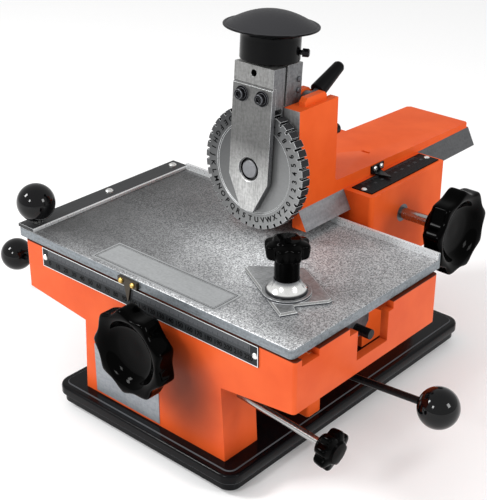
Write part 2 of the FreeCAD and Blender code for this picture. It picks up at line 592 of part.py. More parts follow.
post_pad = pad(post, "post_solid", post_sketch, d.post_top - base_top)
dress(post, "post_corners", "Fillet", post_pad, lambda e, b: upright(b), d.post_corner)
tilt = math.radians(float(d.release_tilt))
swing_rise = (d.post_x + d.post_thick / 2) * Size("tan(dims.release_tilt)", math.tan(tilt))
post_slot = sketch(post, "post_slot", "YZ", -d.post_thick)
rectangle(post_slot, -d.release_rad - d.post_side, d.release_z - swing_rise - d.release_rad - 2 * d.post_side,
          d.release_rad + d.post_side, d.release_z + swing_rise + d.release_rad + 2 * d.post_side)
pocket(post, "post_window", post_slot, 2 * d.post_thick, True)
copies("release_posts", post, [spot(d.post_x, d.release_y, 0), spot(-d.post_x, d.release_y, 0)])

# table: flat plate with a turned-up back edge
table = new_body("work_table")
table_sketch = sketch(table, "table_outline", "XY", table_low)
rectangle(table_sketch, -d.table_wid / 2, 0, d.table_wid / 2, d.table_deep)
table_pad = pad(table, "table_plate", table_sketch, d.table_thick)
dress(table, "table_corners", "Fillet", table_pad,
      lambda e, b: upright(b) and b.YMin < 0.01, d.table_round)
rim_sketch = sketch(table, "rim_outline", "XY", d.table_top)
rectangle(rim_sketch, d.bar_wid + d.knob_gap - d.table_wid / 2, d.table_deep - d.rim_thick,
          d.table_wid / 2, d.table_deep)
pad(table, "back_rim", rim_sketch, d.rim_high)
dress(table, "table_front_edge", "Fillet", table.Tip,
      lambda e, b: abs(b.ZMin - float(d.table_top)) < 0.01 and b.ZLength < 0.01
      and b.YMax < float(d.table_round) + 0.01, 1)
stud_x = d.clamp_x - d.table_x
bar_x = d.bar_wid / 2 - d.table_wid / 2
screw_holes = sketch(table, "screw_holes", "XY", d.table_top + 1)
circle(screw_holes, stud_x, d.clamp_y, d.stud_rad)
circle(screw_holes, bar_x, d.bar_screw_1, d.bar_screw_rad)
circle(screw_holes, bar_x, d.bar_screw_2, d.bar_screw_rad)
circle(screw_holes, d.carriage_x - d.table_x, d.carriage_y, d.carriage_stud)
pocket(table, "table_holes", screw_holes, 6.5, False)
place(table, d.table_x)

# stop bar along the left edge, its screws, blank plate
stop_bar = new_body("stop_bar")
bar_sketch = sketch(stop_bar, "bar_outline", "XY", d.table_top)
rectangle(bar_sketch, -d.table_wid / 2, 0.5, d.bar_wid - d.table_wid / 2, d.table_deep)
circle(bar_sketch, bar_x, d.bar_screw_1, d.bar_screw_rad + d.knob_gap)
circle(bar_sketch, bar_x, d.bar_screw_2, d.bar_screw_rad + d.knob_gap)
circle(bar_sketch, d.carriage_x - d.table_x, d.carriage_y, d.carriage_stud + d.knob_gap)
bar_pad = pad(stop_bar, "bar_solid", bar_sketch, d.bar_high)
dress(stop_bar, "bar_edges", "Chamfer", bar_pad,
      lambda e, b: b.ZMin > float(d.table_top + d.bar_high) - 0.01 and b.YLength > 100, 0.8)
place(stop_bar, d.table_x)
bar_screw = new_body("bar_screw")
bar_screw_sketch = sketch(bar_screw, "bar_screw_profile", "XZ")
bar_screw_top = d.bar_high + d.bar_screw_high
outline(bar_screw_sketch, [(0, -3), (d.bar_screw_rad, -3), (d.bar_screw_rad, d.bar_high),
                           (d.bar_screw_head, d.bar_high), (d.bar_screw_head, bar_screw_top - 1),
                           (d.bar_screw_head - 1, bar_screw_top), (0, bar_screw_top)])
revolve(bar_screw, "bar_screw_turned", bar_screw_sketch)
bar_screw_slot = sketch(bar_screw, "bar_screw_slot", "XY", bar_screw_top)
rectangle(bar_screw_slot, -4, -0.5, 4, 0.5)
pocket(bar_screw, "bar_screw_driver_slot", bar_screw_slot, 0.8, False)
copies("stop_bar_screws", bar_screw, [
    spot(d.table_x + bar_x, d.bar_screw_1, d.table_top), spot(d.table_x + bar_x, d.bar_screw_2, d.table_top)])
label = new_body("table_tag")
label_sketch = sketch(label, "label_outline", "XY", d.table_top)
rectangle(label_sketch, d.label_x - d.label_wid / 2, d.label_y,
          d.label_x + d.label_wid / 2, d.label_y + d.label_deep)
pad(label, "label_sheet", label_sketch, d.label_thick)
place(label, d.table_x)

# bronze pointer on the table's front edge, over the front ruler
pointer = new_body("table_pointer")
pointer_sketch = sketch(pointer, "pointer_outline", "XZ", -d.pointer_thick)
pointer_high = table_low + 0.6
outline(pointer_sketch, [(-d.pointer_wid / 2, pointer_high), (-d.pointer_wid / 2, d.table_top - 1.4),
                         (d.pointer_wid / 2, d.table_top - 1.4), (d.pointer_wid / 2, pointer_high),
                         (3.4, pointer_high), (0.4, d.pointer_low),
                         (-0.4, d.pointer_low), (-3.4, pointer_high)])
for side in (-1, 1):
    circle(pointer_sketch, side * d.pointer_hole, table_low + 3.6, d.screw_bore)
pad(pointer, "pointer_blank", pointer_sketch, d.pointer_thick)
pointer_relief = sketch(pointer, "pointer_relief", "XZ", 0)
rectangle(pointer_relief, -4, d.pointer_low - 1, 4, pointer_high)
pocket(pointer, "pointer_thinned", pointer_relief, d.pointer_thick / 2, False)
place(pointer, d.pointer_x)
small_screw = new_body("small_screw")
small_sketch = sketch(small_screw, "small_screw_profile", "XZ")
outline(small_sketch, [(0, -d.screw_long), (d.screw_thread, -d.screw_long), (d.screw_thread, 0),
                       (d.screw_head, 0), (d.screw_head, d.screw_head_low), (d.screw_top, d.screw_high),
                       (0, d.screw_high)])
revolve(small_screw, "small_screw_turned", small_sketch)
copies("table_pointer_screws", small_screw, [
    spot(d.pointer_x + side * d.pointer_hole, -d.pointer_thick, table_low + 3.6, (1, 0, 0), 90)
    for side in (-1, 1)])


# racks: a bar with a row of straight teeth that point down
def rack(label_text, teeth, wide, high, first, start, stop):
    """Teeth along local X, pitch line at z = 0, bar above."""
    result = new_body(label_text)
    bar = sketch(result, label_text + "_bar", "XZ", -wide / 2)
    root = 1.25 * d.gear_mod
    rectangle(bar, start, root, stop, high)
    pad(result, label_text + "_solid", bar, wide)
    half = tooth_pitch / 4 - d.flank_gap
    slope = Size("tan(20)", math.tan(math.radians(20)))
    tooth = sketch(result, label_text + "_tooth", "XZ", -wide / 2)
    outline(tooth, [(first - half - root * slope, root), (first - half + d.gear_mod * slope, -d.gear_mod),
                    (first + half - d.gear_mod * slope, -d.gear_mod), (first + half + root * slope, root)])
    one = pad(result, label_text + "_one_tooth", tooth, wide)
    row_of(result, label_text + "_teeth", [one], tooth, "H_Axis", tooth_pitch * (teeth - 1), teeth)
    return result


front_rack_half = tooth_pitch * d.front_rack_teeth / 2
front_rack = rack("table_rack", d.front_rack_teeth, d.rack_wide, table_low - front_pitch_z,
                  tooth_pitch / 2 - front_rack_half, -front_rack_half, front_rack_half)
place(front_rack, d.front_x, d.rack_front + d.rack_wide / 2, front_pitch_z)

# table's guide rod and its two hangers
table_rod = document.addObject("Part::Cylinder", "table_rod")
table_rod.Label = "table_rod"
table_rod.setExpression("Radius", d.rod_rad.text)
table_rod.setExpression("Height", (2 * d.rod_half).text)
place(table_rod, d.table_x - d.rod_half, d.rod_y, d.rod_z, (0, 1, 0), 90)
hanger = new_body("hanger")
hanger_sketch = sketch(hanger, "hanger_outline", "YZ", -d.hanger_thick / 2)
hanger_side = d.hanger_wid / 2
hanger_tip = d.hanger_foot / 2
outline(hanger_sketch, [(-hanger_side, table_low), (-hanger_side, d.rod_z), (-hanger_tip, d.hanger_low),
                        (hanger_tip, d.hanger_low), (hanger_side, d.rod_z), (hanger_side, table_low)])
circle(hanger_sketch, 0, d.rod_z, d.rod_rad)
pad(hanger, "hanger_solid", hanger_sketch, d.hanger_thick)
copies("table_hangers", hanger, [
    spot(d.table_x - d.hanger_x, d.rod_y, 0), spot(d.table_x + d.hanger_x, d.rod_y, 0)])


# ball knobs: a sphere with a flat where the stud enters
def ball(label_text):
    result = new_body(label_text)
    sphere = result.newObject("PartDesign::AdditiveSphere", label_text + "_turned")
    sphere.setExpression("Radius", d.ball_rad.text)
    sphere.setExpression("Angle1", "-1 deg * dims.ball_flat")
    flat = d.ball_rad * Size("sin(dims.ball_flat)", math.sin(math.radians(float(d.ball_flat))))
    bore = sketch(result, label_text + "_bore", "XY", -flat)
    return result, bore, flat


carriage_ball, carriage_bore, ball_flat = ball("carriage_ball")
circle(carriage_bore, 0, 0, d.carriage_stud)
pocket(carriage_ball, "carriage_thread", carriage_bore, d.ball_rad, True)
place(carriage_ball, d.carriage_x, d.carriage_y, d.carriage_z)
carriage_stud = document.addObject("Part::Cylinder", "carriage_stud")
carriage_stud.Label = "carriage_stud"
carriage_stud.setExpression("Radius", d.carriage_stud.text)
carriage_stud.setExpression("Height", (d.carriage_z - d.table_top + 5).text)
place(carriage_stud, d.carriage_x, d.carriage_y, d.table_top - 5)

# clamp: hooked plate, stud, cone ferrule and star knob
clamp_plate = new_body("clamp_plate")
clamp_sketch = sketch(clamp_plate, "clamp_outline", "XY")
outline(clamp_sketch, [(d.clamp_left_x, d.clamp_left_y), (d.clamp_nose_x, d.clamp_nose_y),
                       (d.clamp_step_x, d.clamp_step_y), (d.clamp_hook_x, d.clamp_hook_y),
                       (d.clamp_right_x, d.clamp_right_y), (d.clamp_back_x, d.clamp_back_y)])
clamp_pad = pad(clamp_plate, "clamp_blank", clamp_sketch, d.clamp_thick)
clamp_round = dress(clamp_plate, "clamp_corners", "Fillet", clamp_pad,
                    lambda e, b: upright(b) and (abs(b.XMin - float(d.clamp_left_x)) < 0.01
                                                 or abs(b.XMin - float(d.clamp_right_x)) < 0.01
                                                 or abs(b.YMin - float(d.clamp_back_y)) < 0.01),
                    d.clamp_round)
dress(clamp_plate, "clamp_bevel", "Chamfer", clamp_round,
      lambda e, b: b.ZMin > float(d.clamp_thick) - 0.01, d.clamp_bevel)
ring_sketch = sketch(clamp_plate, "clamp_ring", "XY", d.clamp_thick)
circle(ring_sketch, 0, 0, d.clamp_ring)
pad(clamp_plate, "clamp_boss", ring_sketch, d.clamp_ring_high)
clamp_hole = sketch(clamp_plate, "clamp_hole", "XY", -1)
circle(clamp_hole, 0, 0, d.stud_rad + d.fit_gap)
pocket(clamp_plate, "clamp_bore", clamp_hole, d.clamp_thick + d.clamp_ring_high + 2, True)
place(clamp_plate, d.clamp_x, d.clamp_y, d.table_top)
ferrule_z = d.table_top + d.clamp_thick + d.clamp_ring_high
star_z = ferrule_z + d.ferrule_high
clamp_stud = document.addObject("Part::Cylinder", "clamp_stud")
clamp_stud.Label = "clamp_stud"
clamp_stud.setExpression("Radius", d.stud_rad.text)
clamp_stud.setExpression("Height", (star_z - d.table_top + d.clamp_neck_high + 5).text)
place(clamp_stud, d.clamp_x, d.clamp_y, d.table_top - 5)
ferrule = new_body("clamp_ferrule")
ferrule_sketch = sketch(ferrule, "ferrule_profile", "XZ")
ferrule_waist = (d.ferrule_base + d.ferrule_top) / 2 - d.ferrule_edge
ferrule_mid = (d.ferrule_high + d.ferrule_edge) / 2
outline(ferrule_sketch, [(d.stud_rad + d.knob_gap, 0), (d.ferrule_base, 0),
                         (d.ferrule_base, d.ferrule_edge, ferrule_waist, ferrule_mid),
                         (d.ferrule_top, d.ferrule_high), (d.stud_rad + d.knob_gap, d.ferrule_high)])
revolve(ferrule, "ferrule_turned", ferrule_sketch)
place(ferrule, d.clamp_x, d.clamp_y, ferrule_z)


def star_knob(label_text, bore_rad, star_rad, star_high, neck_rad, neck_high, bite_rad, bite_out):
    """Star grip: a turned blank with eight round bites, on a plain neck; local +Z runs out of its face."""
    result = new_body(label_text)
    drawing = sketch(result, label_text + "_profile", "XZ")
    top = neck_high + star_high
    outline(drawing, [(0, 0), (neck_rad - 1.2, 0), (neck_rad, 1.6), (neck_rad, neck_high - 1),
                      (star_rad - 2.5, neck_high), (star_rad, neck_high + 2.5), (star_rad, top - 3),
                      (star_rad - 2.5, top - 0.6), (0, top)])
    revolve(result, label_text + "_turned", drawing)
    bite_sketch = sketch(result, label_text + "_bite", "XY", neck_high - 1)
    circle(bite_sketch, star_rad + bite_out, 0, bite_rad)
    bite = pocket(result, label_text + "_one_bite", bite_sketch, star_high + 2, True)
    polar(result, label_text + "_bites", [bite], bite_sketch, d.star_lobes)
    bore = sketch(result, label_text + "_bore", "XY", -1)
    circle(bore, 0, 0, bore_rad)
    pocket(result, label_text + "_socket", bore, neck_high + 6, True)
    return result


clamp_knob = star_knob("clamp_knob", d.stud_rad + d.knob_gap, d.clamp_star_rad, d.clamp_star_high,
                       d.clamp_star_neck, d.clamp_neck_high, d.clamp_bite, d.clamp_bite_out)
place(clamp_knob, d.clamp_x, d.clamp_y, star_z)


# handwheels: thick scalloped rim, dished face, raised hub, collar behind. Local +Z is the face side
def handwheel(label_text, collar_long, bore_rad):
    result = new_body(label_text)
    drawing = sketch(result, label_text + "_profile", "XZ")
    face = collar_long + d.wheel_thick
    rim_in = d.wheel_rad - d.wheel_rim
    outline(drawing, [(0, 0), (d.wheel_collar - 2, 0), (d.wheel_collar, 2), (d.wheel_collar, collar_long),
                      (d.wheel_rad - 4, collar_long), (d.wheel_rad, collar_long + 4), (d.wheel_rad, face - 4),
                      (d.wheel_rad - 4, face),
                      (rim_in, face, (rim_in + d.wheel_hub) / 2 + 3, face - d.wheel_dish * 0.6),
                      (d.wheel_hub, face - d.wheel_dish), (0, face - d.wheel_dish)])
    revolve(result, label_text + "_turned", drawing)
    bite_sketch = sketch(result, label_text + "_bite", "XY", collar_long - 1)
    circle(bite_sketch, d.wheel_rad + d.wheel_bite - d.wheel_bite_deep, 0, d.wheel_bite)
    bite = pocket(result, label_text + "_one_bite", bite_sketch, d.wheel_thick + 2, True)
    polar(result, label_text + "_bites", [bite], bite_sketch, d.wheel_lobes)
    bore = sketch(result, label_text + "_bore", "XY", -1)
    circle(bore, 0, 0, bore_rad)
    pocket(result, label_text + "_socket", bore, collar_long + 5, True)
    return result


front_wheel = handwheel("front_handwheel", d.front_collar_long, d.shaft_rad)
place(front_wheel, d.front_x, -d.front_stand_off, d.front_z, (1, 0, 0), 90)
side_wheel = handwheel("side_handwheel", d.side_collar_long, d.side_shaft_rad)
place(side_wheel, d.box_half + d.side_stand_off, d.side_y, d.side_z, (0, 1, 0), 90)
front_shaft = document.addObject("Part::Cylinder", "front_shaft")
front_shaft.Label = "front_shaft"
front_shaft.setExpression("Radius", d.shaft_rad.text)
front_shaft.setExpression("Height", (d.ped_deep + d.front_stand_off + d.front_collar_long + 3).text)
place(front_shaft, d.front_x, d.ped_deep, d.front_z, (1, 0, 0), 90)
side_shaft = document.addObject("Part::Cylinder", "side_shaft")
side_shaft.Label = "side_shaft"
side_shaft.setExpression("Radius", d.side_shaft_rad.text)
side_shaft.setExpression(
    "Height", (d.channel_half + d.bush_long + d.box_half + d.side_stand_off + d.side_collar_long + 3).text)
place(side_shaft, -d.channel_half - d.bush_long, d.side_y, d.side_z, (0, 1, 0), 90)


def spur(label_text, teeth, wide, bore_rad):
    """Spur gear about local Z with one tooth centred on local +X; flanks in two straight steps."""
    result = new_body(label_text)
    pitch = d.gear_mod * teeth / 2
    root = pitch - 1.25 * d.gear_mod
    disc = sketch(result, label_text + "_disc", "XY")
    circle(disc, 0, 0, root)
    pad(result, label_text + "_blank", disc, wide)
    half = tooth_pitch / 4 - d.flank_gap
    tooth = sketch(result, label_text + "_tooth", "XY")
    foot = half + 0.28 * d.gear_mod
    tip = pitch + 0.93 * d.gear_mod
    land = 0.19 * d.gear_mod
    outline(tooth, [(root - 0.4, -foot), (pitch, -half), (tip, -land),
                    (tip, land), (pitch, half), (root - 0.4, foot)])
    one = pad(result, label_text + "_one_tooth", tooth, wide)
    polar(result, label_text + "_teeth", [one], tooth, teeth)
    bore = sketch(result, label_text + "_bore", "XY", -1)
    circle(bore, 0, 0, bore_rad)
    pocket(result, label_text + "_hole", bore, wide + 2, True)
    return result


front_gear = spur("front_gear", d.front_teeth, d.front_gear_wide, d.shaft_rad)
side_pinion = spur("side_pinion", d.side_teeth, d.side_gear_wide, d.side_shaft_rad)


def turned(item, x, y, z, columns):
    """Place a piece by where its own X, Y and Z axes point."""
    matrix = FreeCAD.Matrix()
    matrix.A11, matrix.A21, matrix.A31 = columns[0]
    matrix.A12, matrix.A22, matrix.A32 = columns[1]
    matrix.A13, matrix.A23, matrix.A33 = columns[2]
    item.Placement = FreeCAD.Placement(
        FreeCAD.Vector(float(size(x)), float(size(y)), float(size(z))), FreeCAD.Rotation(matrix))
    if item not in pieces:
        pieces.append(item)


turned(front_gear, d.front_x, d.front_gear_y, d.front_z, ((0, 0, 1), (1, 0, 0), (0, 1, 0)))
turned(side_pinion, -d.side_gear_wide / 2, d.side_y, d.side_z, ((0, 0, 1), (0, -1, 0), (1, 0, 0)))

# ram: dovetail, sloping beam, tower with a slot for the head and ears for the lever
ram = new_body("ram_casting")
dove_sketch = sketch(ram, "ram_dovetail", "XZ", d.ram_front)
outline(dove_sketch, [(-d.ram_half, d.box_top), (-d.ram_half - d.dove_flare, way_low),
                      (d.ram_half + d.dove_flare, way_low), (d.ram_half, d.box_top)])
pad(ram, "dovetail", dove_sketch, d.ram_rear - d.ram_front)
beam_sketch = sketch(ram, "beam_outline", "YZ", -d.ram_half)
outline(beam_sketch, [(d.ram_front, d.box_top), (d.ram_rear, d.box_top),
                      (d.ram_rear, d.box_top + d.ram_rise_rear),
                      (d.tower_rear, d.box_top + d.ram_rise_front), (d.tower_rear, d.tower_top),
                      (d.tower_front, d.tower_top), (d.tower_front, d.box_top)])
beam = pad(ram, "beam_and_tower", beam_sketch, 2 * d.ram_half)
dress(ram, "tower_root", "Fillet", beam,
      lambda e, b: b.XLength > float(d.ram_half) and abs(b.YMin - float(d.tower_rear)) < 0.01
      and abs(b.ZMin - float(d.box_top + d.ram_rise_front)) < 0.01, d.tower_fillet)
corner_sketch = sketch(ram, "beam_rear_corners", "XY", d.box_top + d.ram_rise_front)
for sign in (-1, 1):
    outer = sign * (d.ram_half + 1)
    inner = sign * (d.ram_half - d.ram_edge)
    outline(corner_sketch, [(sign * d.ram_half, d.ram_rear - d.ram_edge), (outer, d.ram_rear - d.ram_edge),
                            (outer, d.ram_rear + 1), (inner, d.ram_rear + 1), (inner, d.ram_rear)])
pocket(ram, "beam_corner_cuts", corner_sketch, d.ram_rise_front, False)
ear_spots = (("outer", d.ear_out - d.ear_thick, d.ear_front), ("middle", d.ear_mid, d.ear_mid_front),
             ("inner", -d.ear_mid - d.ear_thick, d.ear_mid_front))
for side, near, front in ear_spots:
    ear_sketch = sketch(ram, "ear_" + side + "_outline", "YZ", near)
    outline(ear_sketch, [(front, d.tower_top - 2), (d.ear_rear, d.tower_top - 2),
                         (d.ear_rear, d.ear_top - d.ear_round), (d.ear_rear - d.ear_round, d.ear_top),
                         (front + d.ear_round, d.ear_top), (front, d.ear_top - d.ear_round)])
    pad(ram, "ear_" + side, ear_sketch, d.ear_thick)
head_slot = sketch(ram, "head_slot", "XY", d.tower_top)
rectangle(head_slot, -d.slot_half, d.tower_front - 1, d.slot_half, d.slot_rear)
pocket(ram, "head_slot_cut", head_slot, d.tower_top - d.box_top + 1, False)
mouth = sketch(ram, "mouth_outline", "XY", d.box_top + 0.5)
rectangle(mouth, -d.mouth_half, d.tower_front - 1, d.mouth_half, d.slot_rear)
pocket(ram, "mouth", mouth, d.dove_high + 2, False)
well = sketch(ram, "cam_well", "XY", d.tower_top)
rectangle(well, -d.well_half, d.slot_rear - 1, d.well_half, d.well_rear)
pocket(ram, "cam_well_cut", well, d.tower_top - d.well_low, False)
lever_slot = sketch(ram, "lever_slot", "XY", d.tower_top)
lever_reach = d.lever_hub + d.lever_room
rectangle(lever_slot, d.ear_mid + d.ear_thick, d.cam_y - lever_reach,
          d.ear_out - d.ear_thick, d.tower_rear + 1)
pocket(ram, "lever_slot_cut", lever_slot, d.tower_top - d.cam_z + lever_reach, False)
grip_room = sketch(ram, "grip_room", "XY", d.tower_top)
rectangle(grip_room, d.lever_x - d.grip_rad - d.grip_side_room, d.ear_rear,
          d.lever_x + d.grip_rad + d.grip_side_room, d.tower_rear + 1)
pocket(ram, "grip_room_cut", grip_room, d.grip_rad + d.grip_low_room, False)
cam_bore = sketch(ram, "cam_bore", "YZ", -d.ear_mid - d.ear_thick - 1)
circle(cam_bore, d.cam_y, d.cam_z, d.cam_shaft + d.fit_gap)
pocket(ram, "cam_shaft_bore", cam_bore, d.ear_mid + d.ear_thick + d.ear_out + 1 - d.ear_skin, True)
pin_bore = sketch(ram, "pin_bore", "YZ", -d.ram_half - 1)
circle(pin_bore, d.pin_y, d.pin_z, d.pin_rad)
pocket(ram, "head_pin_bore", pin_bore, 2 * d.ram_half - 6, True)
let_in = sketch(ram, "rack_seat", "XY", way_low - 1)
rack_back = d.side_y - tooth_pitch * 12
rack_front_end = rack_back + tooth_pitch * d.side_rack_teeth
rectangle(let_in, -d.side_rack_wide / 2, rack_back, d.side_rack_wide / 2, rack_front_end)
pocket(ram, "rack_seat_cut", let_in, d.side_rack_let + 1, True)
oil = sketch(ram, "oil_pocket", "XY", d.box_top + d.ram_rise_front + 1)
rectangle(oil, d.oil_x - d.oil_long / 2, d.oil_y - d.oil_wide / 2,
          d.oil_x + d.oil_long / 2, d.oil_y + d.oil_wide / 2)
pocket(ram, "oil_slot", oil, 8, False)
place(ram)

# ram's rack, let into the underside; its teeth run along Y
side_rack = rack("ram_rack", d.side_rack_teeth, d.side_rack_wide, way_low + d.side_rack_let - side_pitch_z,
                 tooth_pitch / 2, 0, tooth_pitch * d.side_rack_teeth)
turned(side_rack, 0, rack_back, side_pitch_z, ((0, 1, 0), (-1, 0, 0), (0, 0, 1)))

# black pointer bracket on the ram's flank, over the rear ruler
ram_pointer = new_body("ram_pointer")
tab_sketch = sketch(ram_pointer, "tab_outline", "YZ", 0)
rectangle(tab_sketch, -d.tab_half, d.tab_low, d.tab_half, d.tab_high)
circle(tab_sketch, -d.tab_screw_y, d.tab_screw_z, d.screw_bore)
circle(tab_sketch, d.tab_screw_y, d.tab_screw_z, d.screw_bore)
pad(ram_pointer, "tab", tab_sketch, d.tab_thick)
finger_sketch = sketch(ram_pointer, "finger_outline", "XY", d.tab_low)
outline(finger_sketch, [(0, -d.tab_half), (d.tab_thick, -d.tab_half),
                        (d.finger_long, -d.finger_mid - d.finger_tip),
                        (d.finger_long, d.finger_tip - d.finger_mid),
                        (d.tab_thick, d.finger_root), (0, d.finger_root)])
pad(ram_pointer, "finger", finger_sketch, d.finger_thick)
ram_pointer_y = d.side_y + 0.5
place(ram_pointer, d.ram_half, ram_pointer_y, d.box_top)
copies("ram_pointer_screws", small_screw, [
    spot(d.ram_half + d.tab_thick, ram_pointer_y + side * d.tab_screw_y, d.box_top + d.tab_screw_z,
         (0, 1, 0), 90) for side in (-1, 1)])
ram_screw_holes = sketch(ram, "pointer_screw_holes", "YZ", d.ram_half + 1)
for side in (-1, 1):
    circle(ram_screw_holes, ram_pointer_y + side * d.tab_screw_y, d.box_top + d.tab_screw_z, d.screw_bore)
pocket(ram, "pointer_screw_bores", ram_screw_holes, 3.5, False)

# head pin and the lock screw behind the tower
head_pin = document.addObject("Part::Cylinder", "head_pin")
head_pin.Label = "head_pin"
head_pin.setExpression("Radius", (d.pin_rad - d.fit_gap).text)
head_pin.setExpression("Height", (2 * d.ram_half - 8).text)
place(head_pin, -d.ram_half, d.pin_y, d.pin_z, (0, 1, 0), 90)
lock_screw = new_body("lock_screw")
lock_sketch = sketch(lock_screw, "lock_profile", "XZ")
outline(lock_sketch, [(0, -6), (2.6, -6), (2.6, 0), (d.lock_rad, 0), (d.lock_rad, d.lock_long - 1),
                      (d.lock_rad - 1, d.lock_long), (0, d.lock_long)])
revolve(lock_screw, "lock_turned", lock_sketch)
lock_socket = sketch(lock_screw, "lock_socket", "XY", d.lock_long + 1)
circle(lock_socket, 0, 0, 2.2)
pocket(lock_screw, "lock_hole", lock_socket, 4, False)
place(lock_screw, d.lock_x, d.tower_rear, d.lock_z, (1, 0, 0), -90)
lock_bore = sketch(ram, "lock_bore", "XZ", d.tower_rear + 1)
circle(lock_bore, d.lock_x, d.lock_z, 2.7)
pocket(ram, "lock_screw_bore", lock_bore, 8, False)

# head, in its own upright frame: origin on the dial's face, in its middle; it is leaned back afterwards
lean = FreeCAD.Rotation(FreeCAD.Vector(1, 0, 0), -float(d.lean))
head_origin = FreeCAD.Vector(0, float(d.dial_y), float(d.dial_z))
head_frame = FreeCAD.Placement(head_origin, lean)
pin_local = head_frame.inverse().multVec(FreeCAD.Vector(0, float(d.pin_y), float(d.pin_z)))


def in_head(item, x=0, y=0, z=0, axis=(0, 0, 1), angle=0):
    item.Placement = head_frame.multiply(spot(x, y, z, axis, angle))
    if item not in pieces:
        pieces.append(item)


head = new_body("head_block")
nose_sketch = sketch(head, "nose_outline", "YZ", -d.plate_half)
nose_low = d.dial_rad + 2
plate_back = d.plate_thick - d.plate_out
outline(nose_sketch, [(plate_back, nose_low), (d.nose_rear, nose_low), (d.nose_rear, d.block_high),
                      (0.7 - d.plate_out, d.block_high), (0.7 - d.plate_out, d.plate_top + 0.1),
                      (plate_back, d.plate_top + 0.1)])
pad(head, "nose", nose_sketch, 2 * d.plate_half)
throat_sketch = sketch(head, "throat_outline", "YZ", -d.throat_half)
rectangle(throat_sketch, d.nose_rear - 1, nose_low, d.neck_rear + 1, d.block_high - 1.5)
pad(head, "throat", throat_sketch, 2 * d.throat_half)
column_sketch = sketch(head, "column_outline", "YZ", -d.column_half)
outline(column_sketch, [(d.spine_front, d.column_low), (d.spine_front, nose_low), (d.neck_rear, nose_low),
                        (d.neck_rear, d.block_high), (d.column_rear, d.block_high),
                        (d.column_rear, d.column_low + 12), (d.column_rear - 8, d.column_low)])
pad(head, "column", column_sketch, 2 * d.column_half)
tail_sketch = sketch(head, "tail_outline", "YZ", -d.tail_half)
tail_low = pin_local.z - float(d.tail_rad)
tail_high = pin_local.z + float(d.tail_rad)
outline(tail_sketch, [(d.column_rear - 9, tail_low),
                      (pin_local.y, tail_low, pin_local.y + float(d.tail_rad), pin_local.z),
                      (pin_local.y, tail_high), (d.column_rear - 9, tail_high)])
pad(head, "tail", tail_sketch, 2 * d.tail_half)
tail_bore = sketch(head, "tail_bore", "YZ", -d.tail_half - 1)
circle(tail_bore, pin_local.y, pin_local.z, d.pin_rad)
pocket(head, "tail_hole", tail_bore, 2 * d.tail_half + 2, True)
front_hole = sketch(head, "front_hole", "XZ", -d.plate_out)
circle(front_hole, 0, (d.plate_top + d.block_high) / 2 + 1.5, 2.9)
pocket(head, "front_blind_hole", front_hole, 7, True)
spindle_bore = sketch(head, "spindle_bore", "XY", 0)
circle(spindle_bore, 0, d.spindle_y, d.spindle_rad + d.fit_gap)
pocket(head, "spindle_hole", spindle_bore, d.block_high + 1, True)
room = sketch(head, "gear_room", "XY", -d.gear_room)
rectangle(room, -d.gear_room, d.spine_front - 0.5,
          d.gear_room, d.spindle_y + d.bevel_rad + d.bevel_back + 0.6)
pocket(head, "gear_chamber", room, 2 * d.gear_room, True)
axle_bore = sketch(head, "axle_bore", "XZ", d.spine_front - 1)
circle(axle_bore, 0, 0, d.bevel_bore + d.fit_gap)
pocket(head, "axle_hole", axle_bore, d.column_rear - 4 - d.spine_front, True)
in_head(head)

# front plate: pointed, with a stepped ring round the axle
plate = new_body("front_plate")
plate_sketch = sketch(plate, "plate_outline", "XZ", -d.plate_out)
outline(plate_sketch, [(-d.plate_half, d.plate_top), (-d.plate_half, -d.plate_shoulder),
                       (-d.plate_tip_half, -d.plate_tip), (d.plate_tip_half, -d.plate_tip),
                       (d.plate_half, -d.plate_shoulder), (d.plate_half, d.plate_top)])
plate_pad = pad(plate, "plate_blank", plate_sketch, d.plate_thick)
dress(plate, "plate_top_bevel", "Chamfer", plate_pad,
      lambda e, b: b.XLength > float(d.plate_half) and b.YMax < 0.01 - float(d.plate_out)
      and b.ZMin > float(d.plate_top) - 0.01, d.plate_bevel)
plate_bore = sketch(plate, "plate_bore", "XZ", -d.plate_out)
circle(plate_bore, 0, 0, d.plate_bore)
for off in (-1, 1):
    circle(plate_bore, off * d.plate_screw_x, d.plate_screw_z, 2.6)
plate_holes = pocket(plate, "plate_holes", plate_bore, d.plate_thick, True)
dress(plate, "plate_ring", "Chamfer", plate_holes,
      lambda e, b: b.YMax < 0.01 - float(d.plate_out) and abs(b.XLength - 2 * float(d.plate_bore)) < 0.01,
      d.plate_ring)
in_head(plate)
cap_screw = new_body("cap_screw")
cap_sketch = sketch(cap_screw, "cap_profile", "XZ")
outline(cap_sketch, [(0, -d.cap_long), (d.cap_thread, -d.cap_long), (d.cap_thread, 0), (d.washer_rad, 0),
                     (d.washer_rad, d.washer_thick), (d.cap_head, d.washer_thick),
                     (d.cap_head, d.cap_high - d.cap_edge), (d.cap_head - d.cap_edge, d.cap_high),
                     (0, d.cap_high)])
revolve(cap_screw, "cap_turned", cap_sketch)
cap_socket = sketch(cap_screw, "cap_socket", "XY", d.cap_high + 0.5)
outline(cap_socket, [(d.cap_key, 0), (d.cap_key / 2, d.cap_key_flat), (-d.cap_key / 2, d.cap_key_flat),
                     (-d.cap_key, 0), (-d.cap_key / 2, -d.cap_key_flat), (d.cap_key / 2, -d.cap_key_flat)])
pocket(cap_screw, "cap_hexagon", cap_socket, d.cap_key_deep, False)
nose_bores = sketch(head, "nose_bores", "XZ", -d.plate_out)
for off in (-1, 1):
    circle(nose_bores, off * d.plate_screw_x, d.plate_screw_z, d.cap_thread)
pocket(head, "nose_screw_bores", nose_bores, 10.5, True)
copies("plate_screws", cap_screw, [
    head_frame.multiply(spot(off * d.plate_screw_x, -d.plate_out, d.plate_screw_z, (1, 0, 0), 90))
    for off in (-1, 1)])
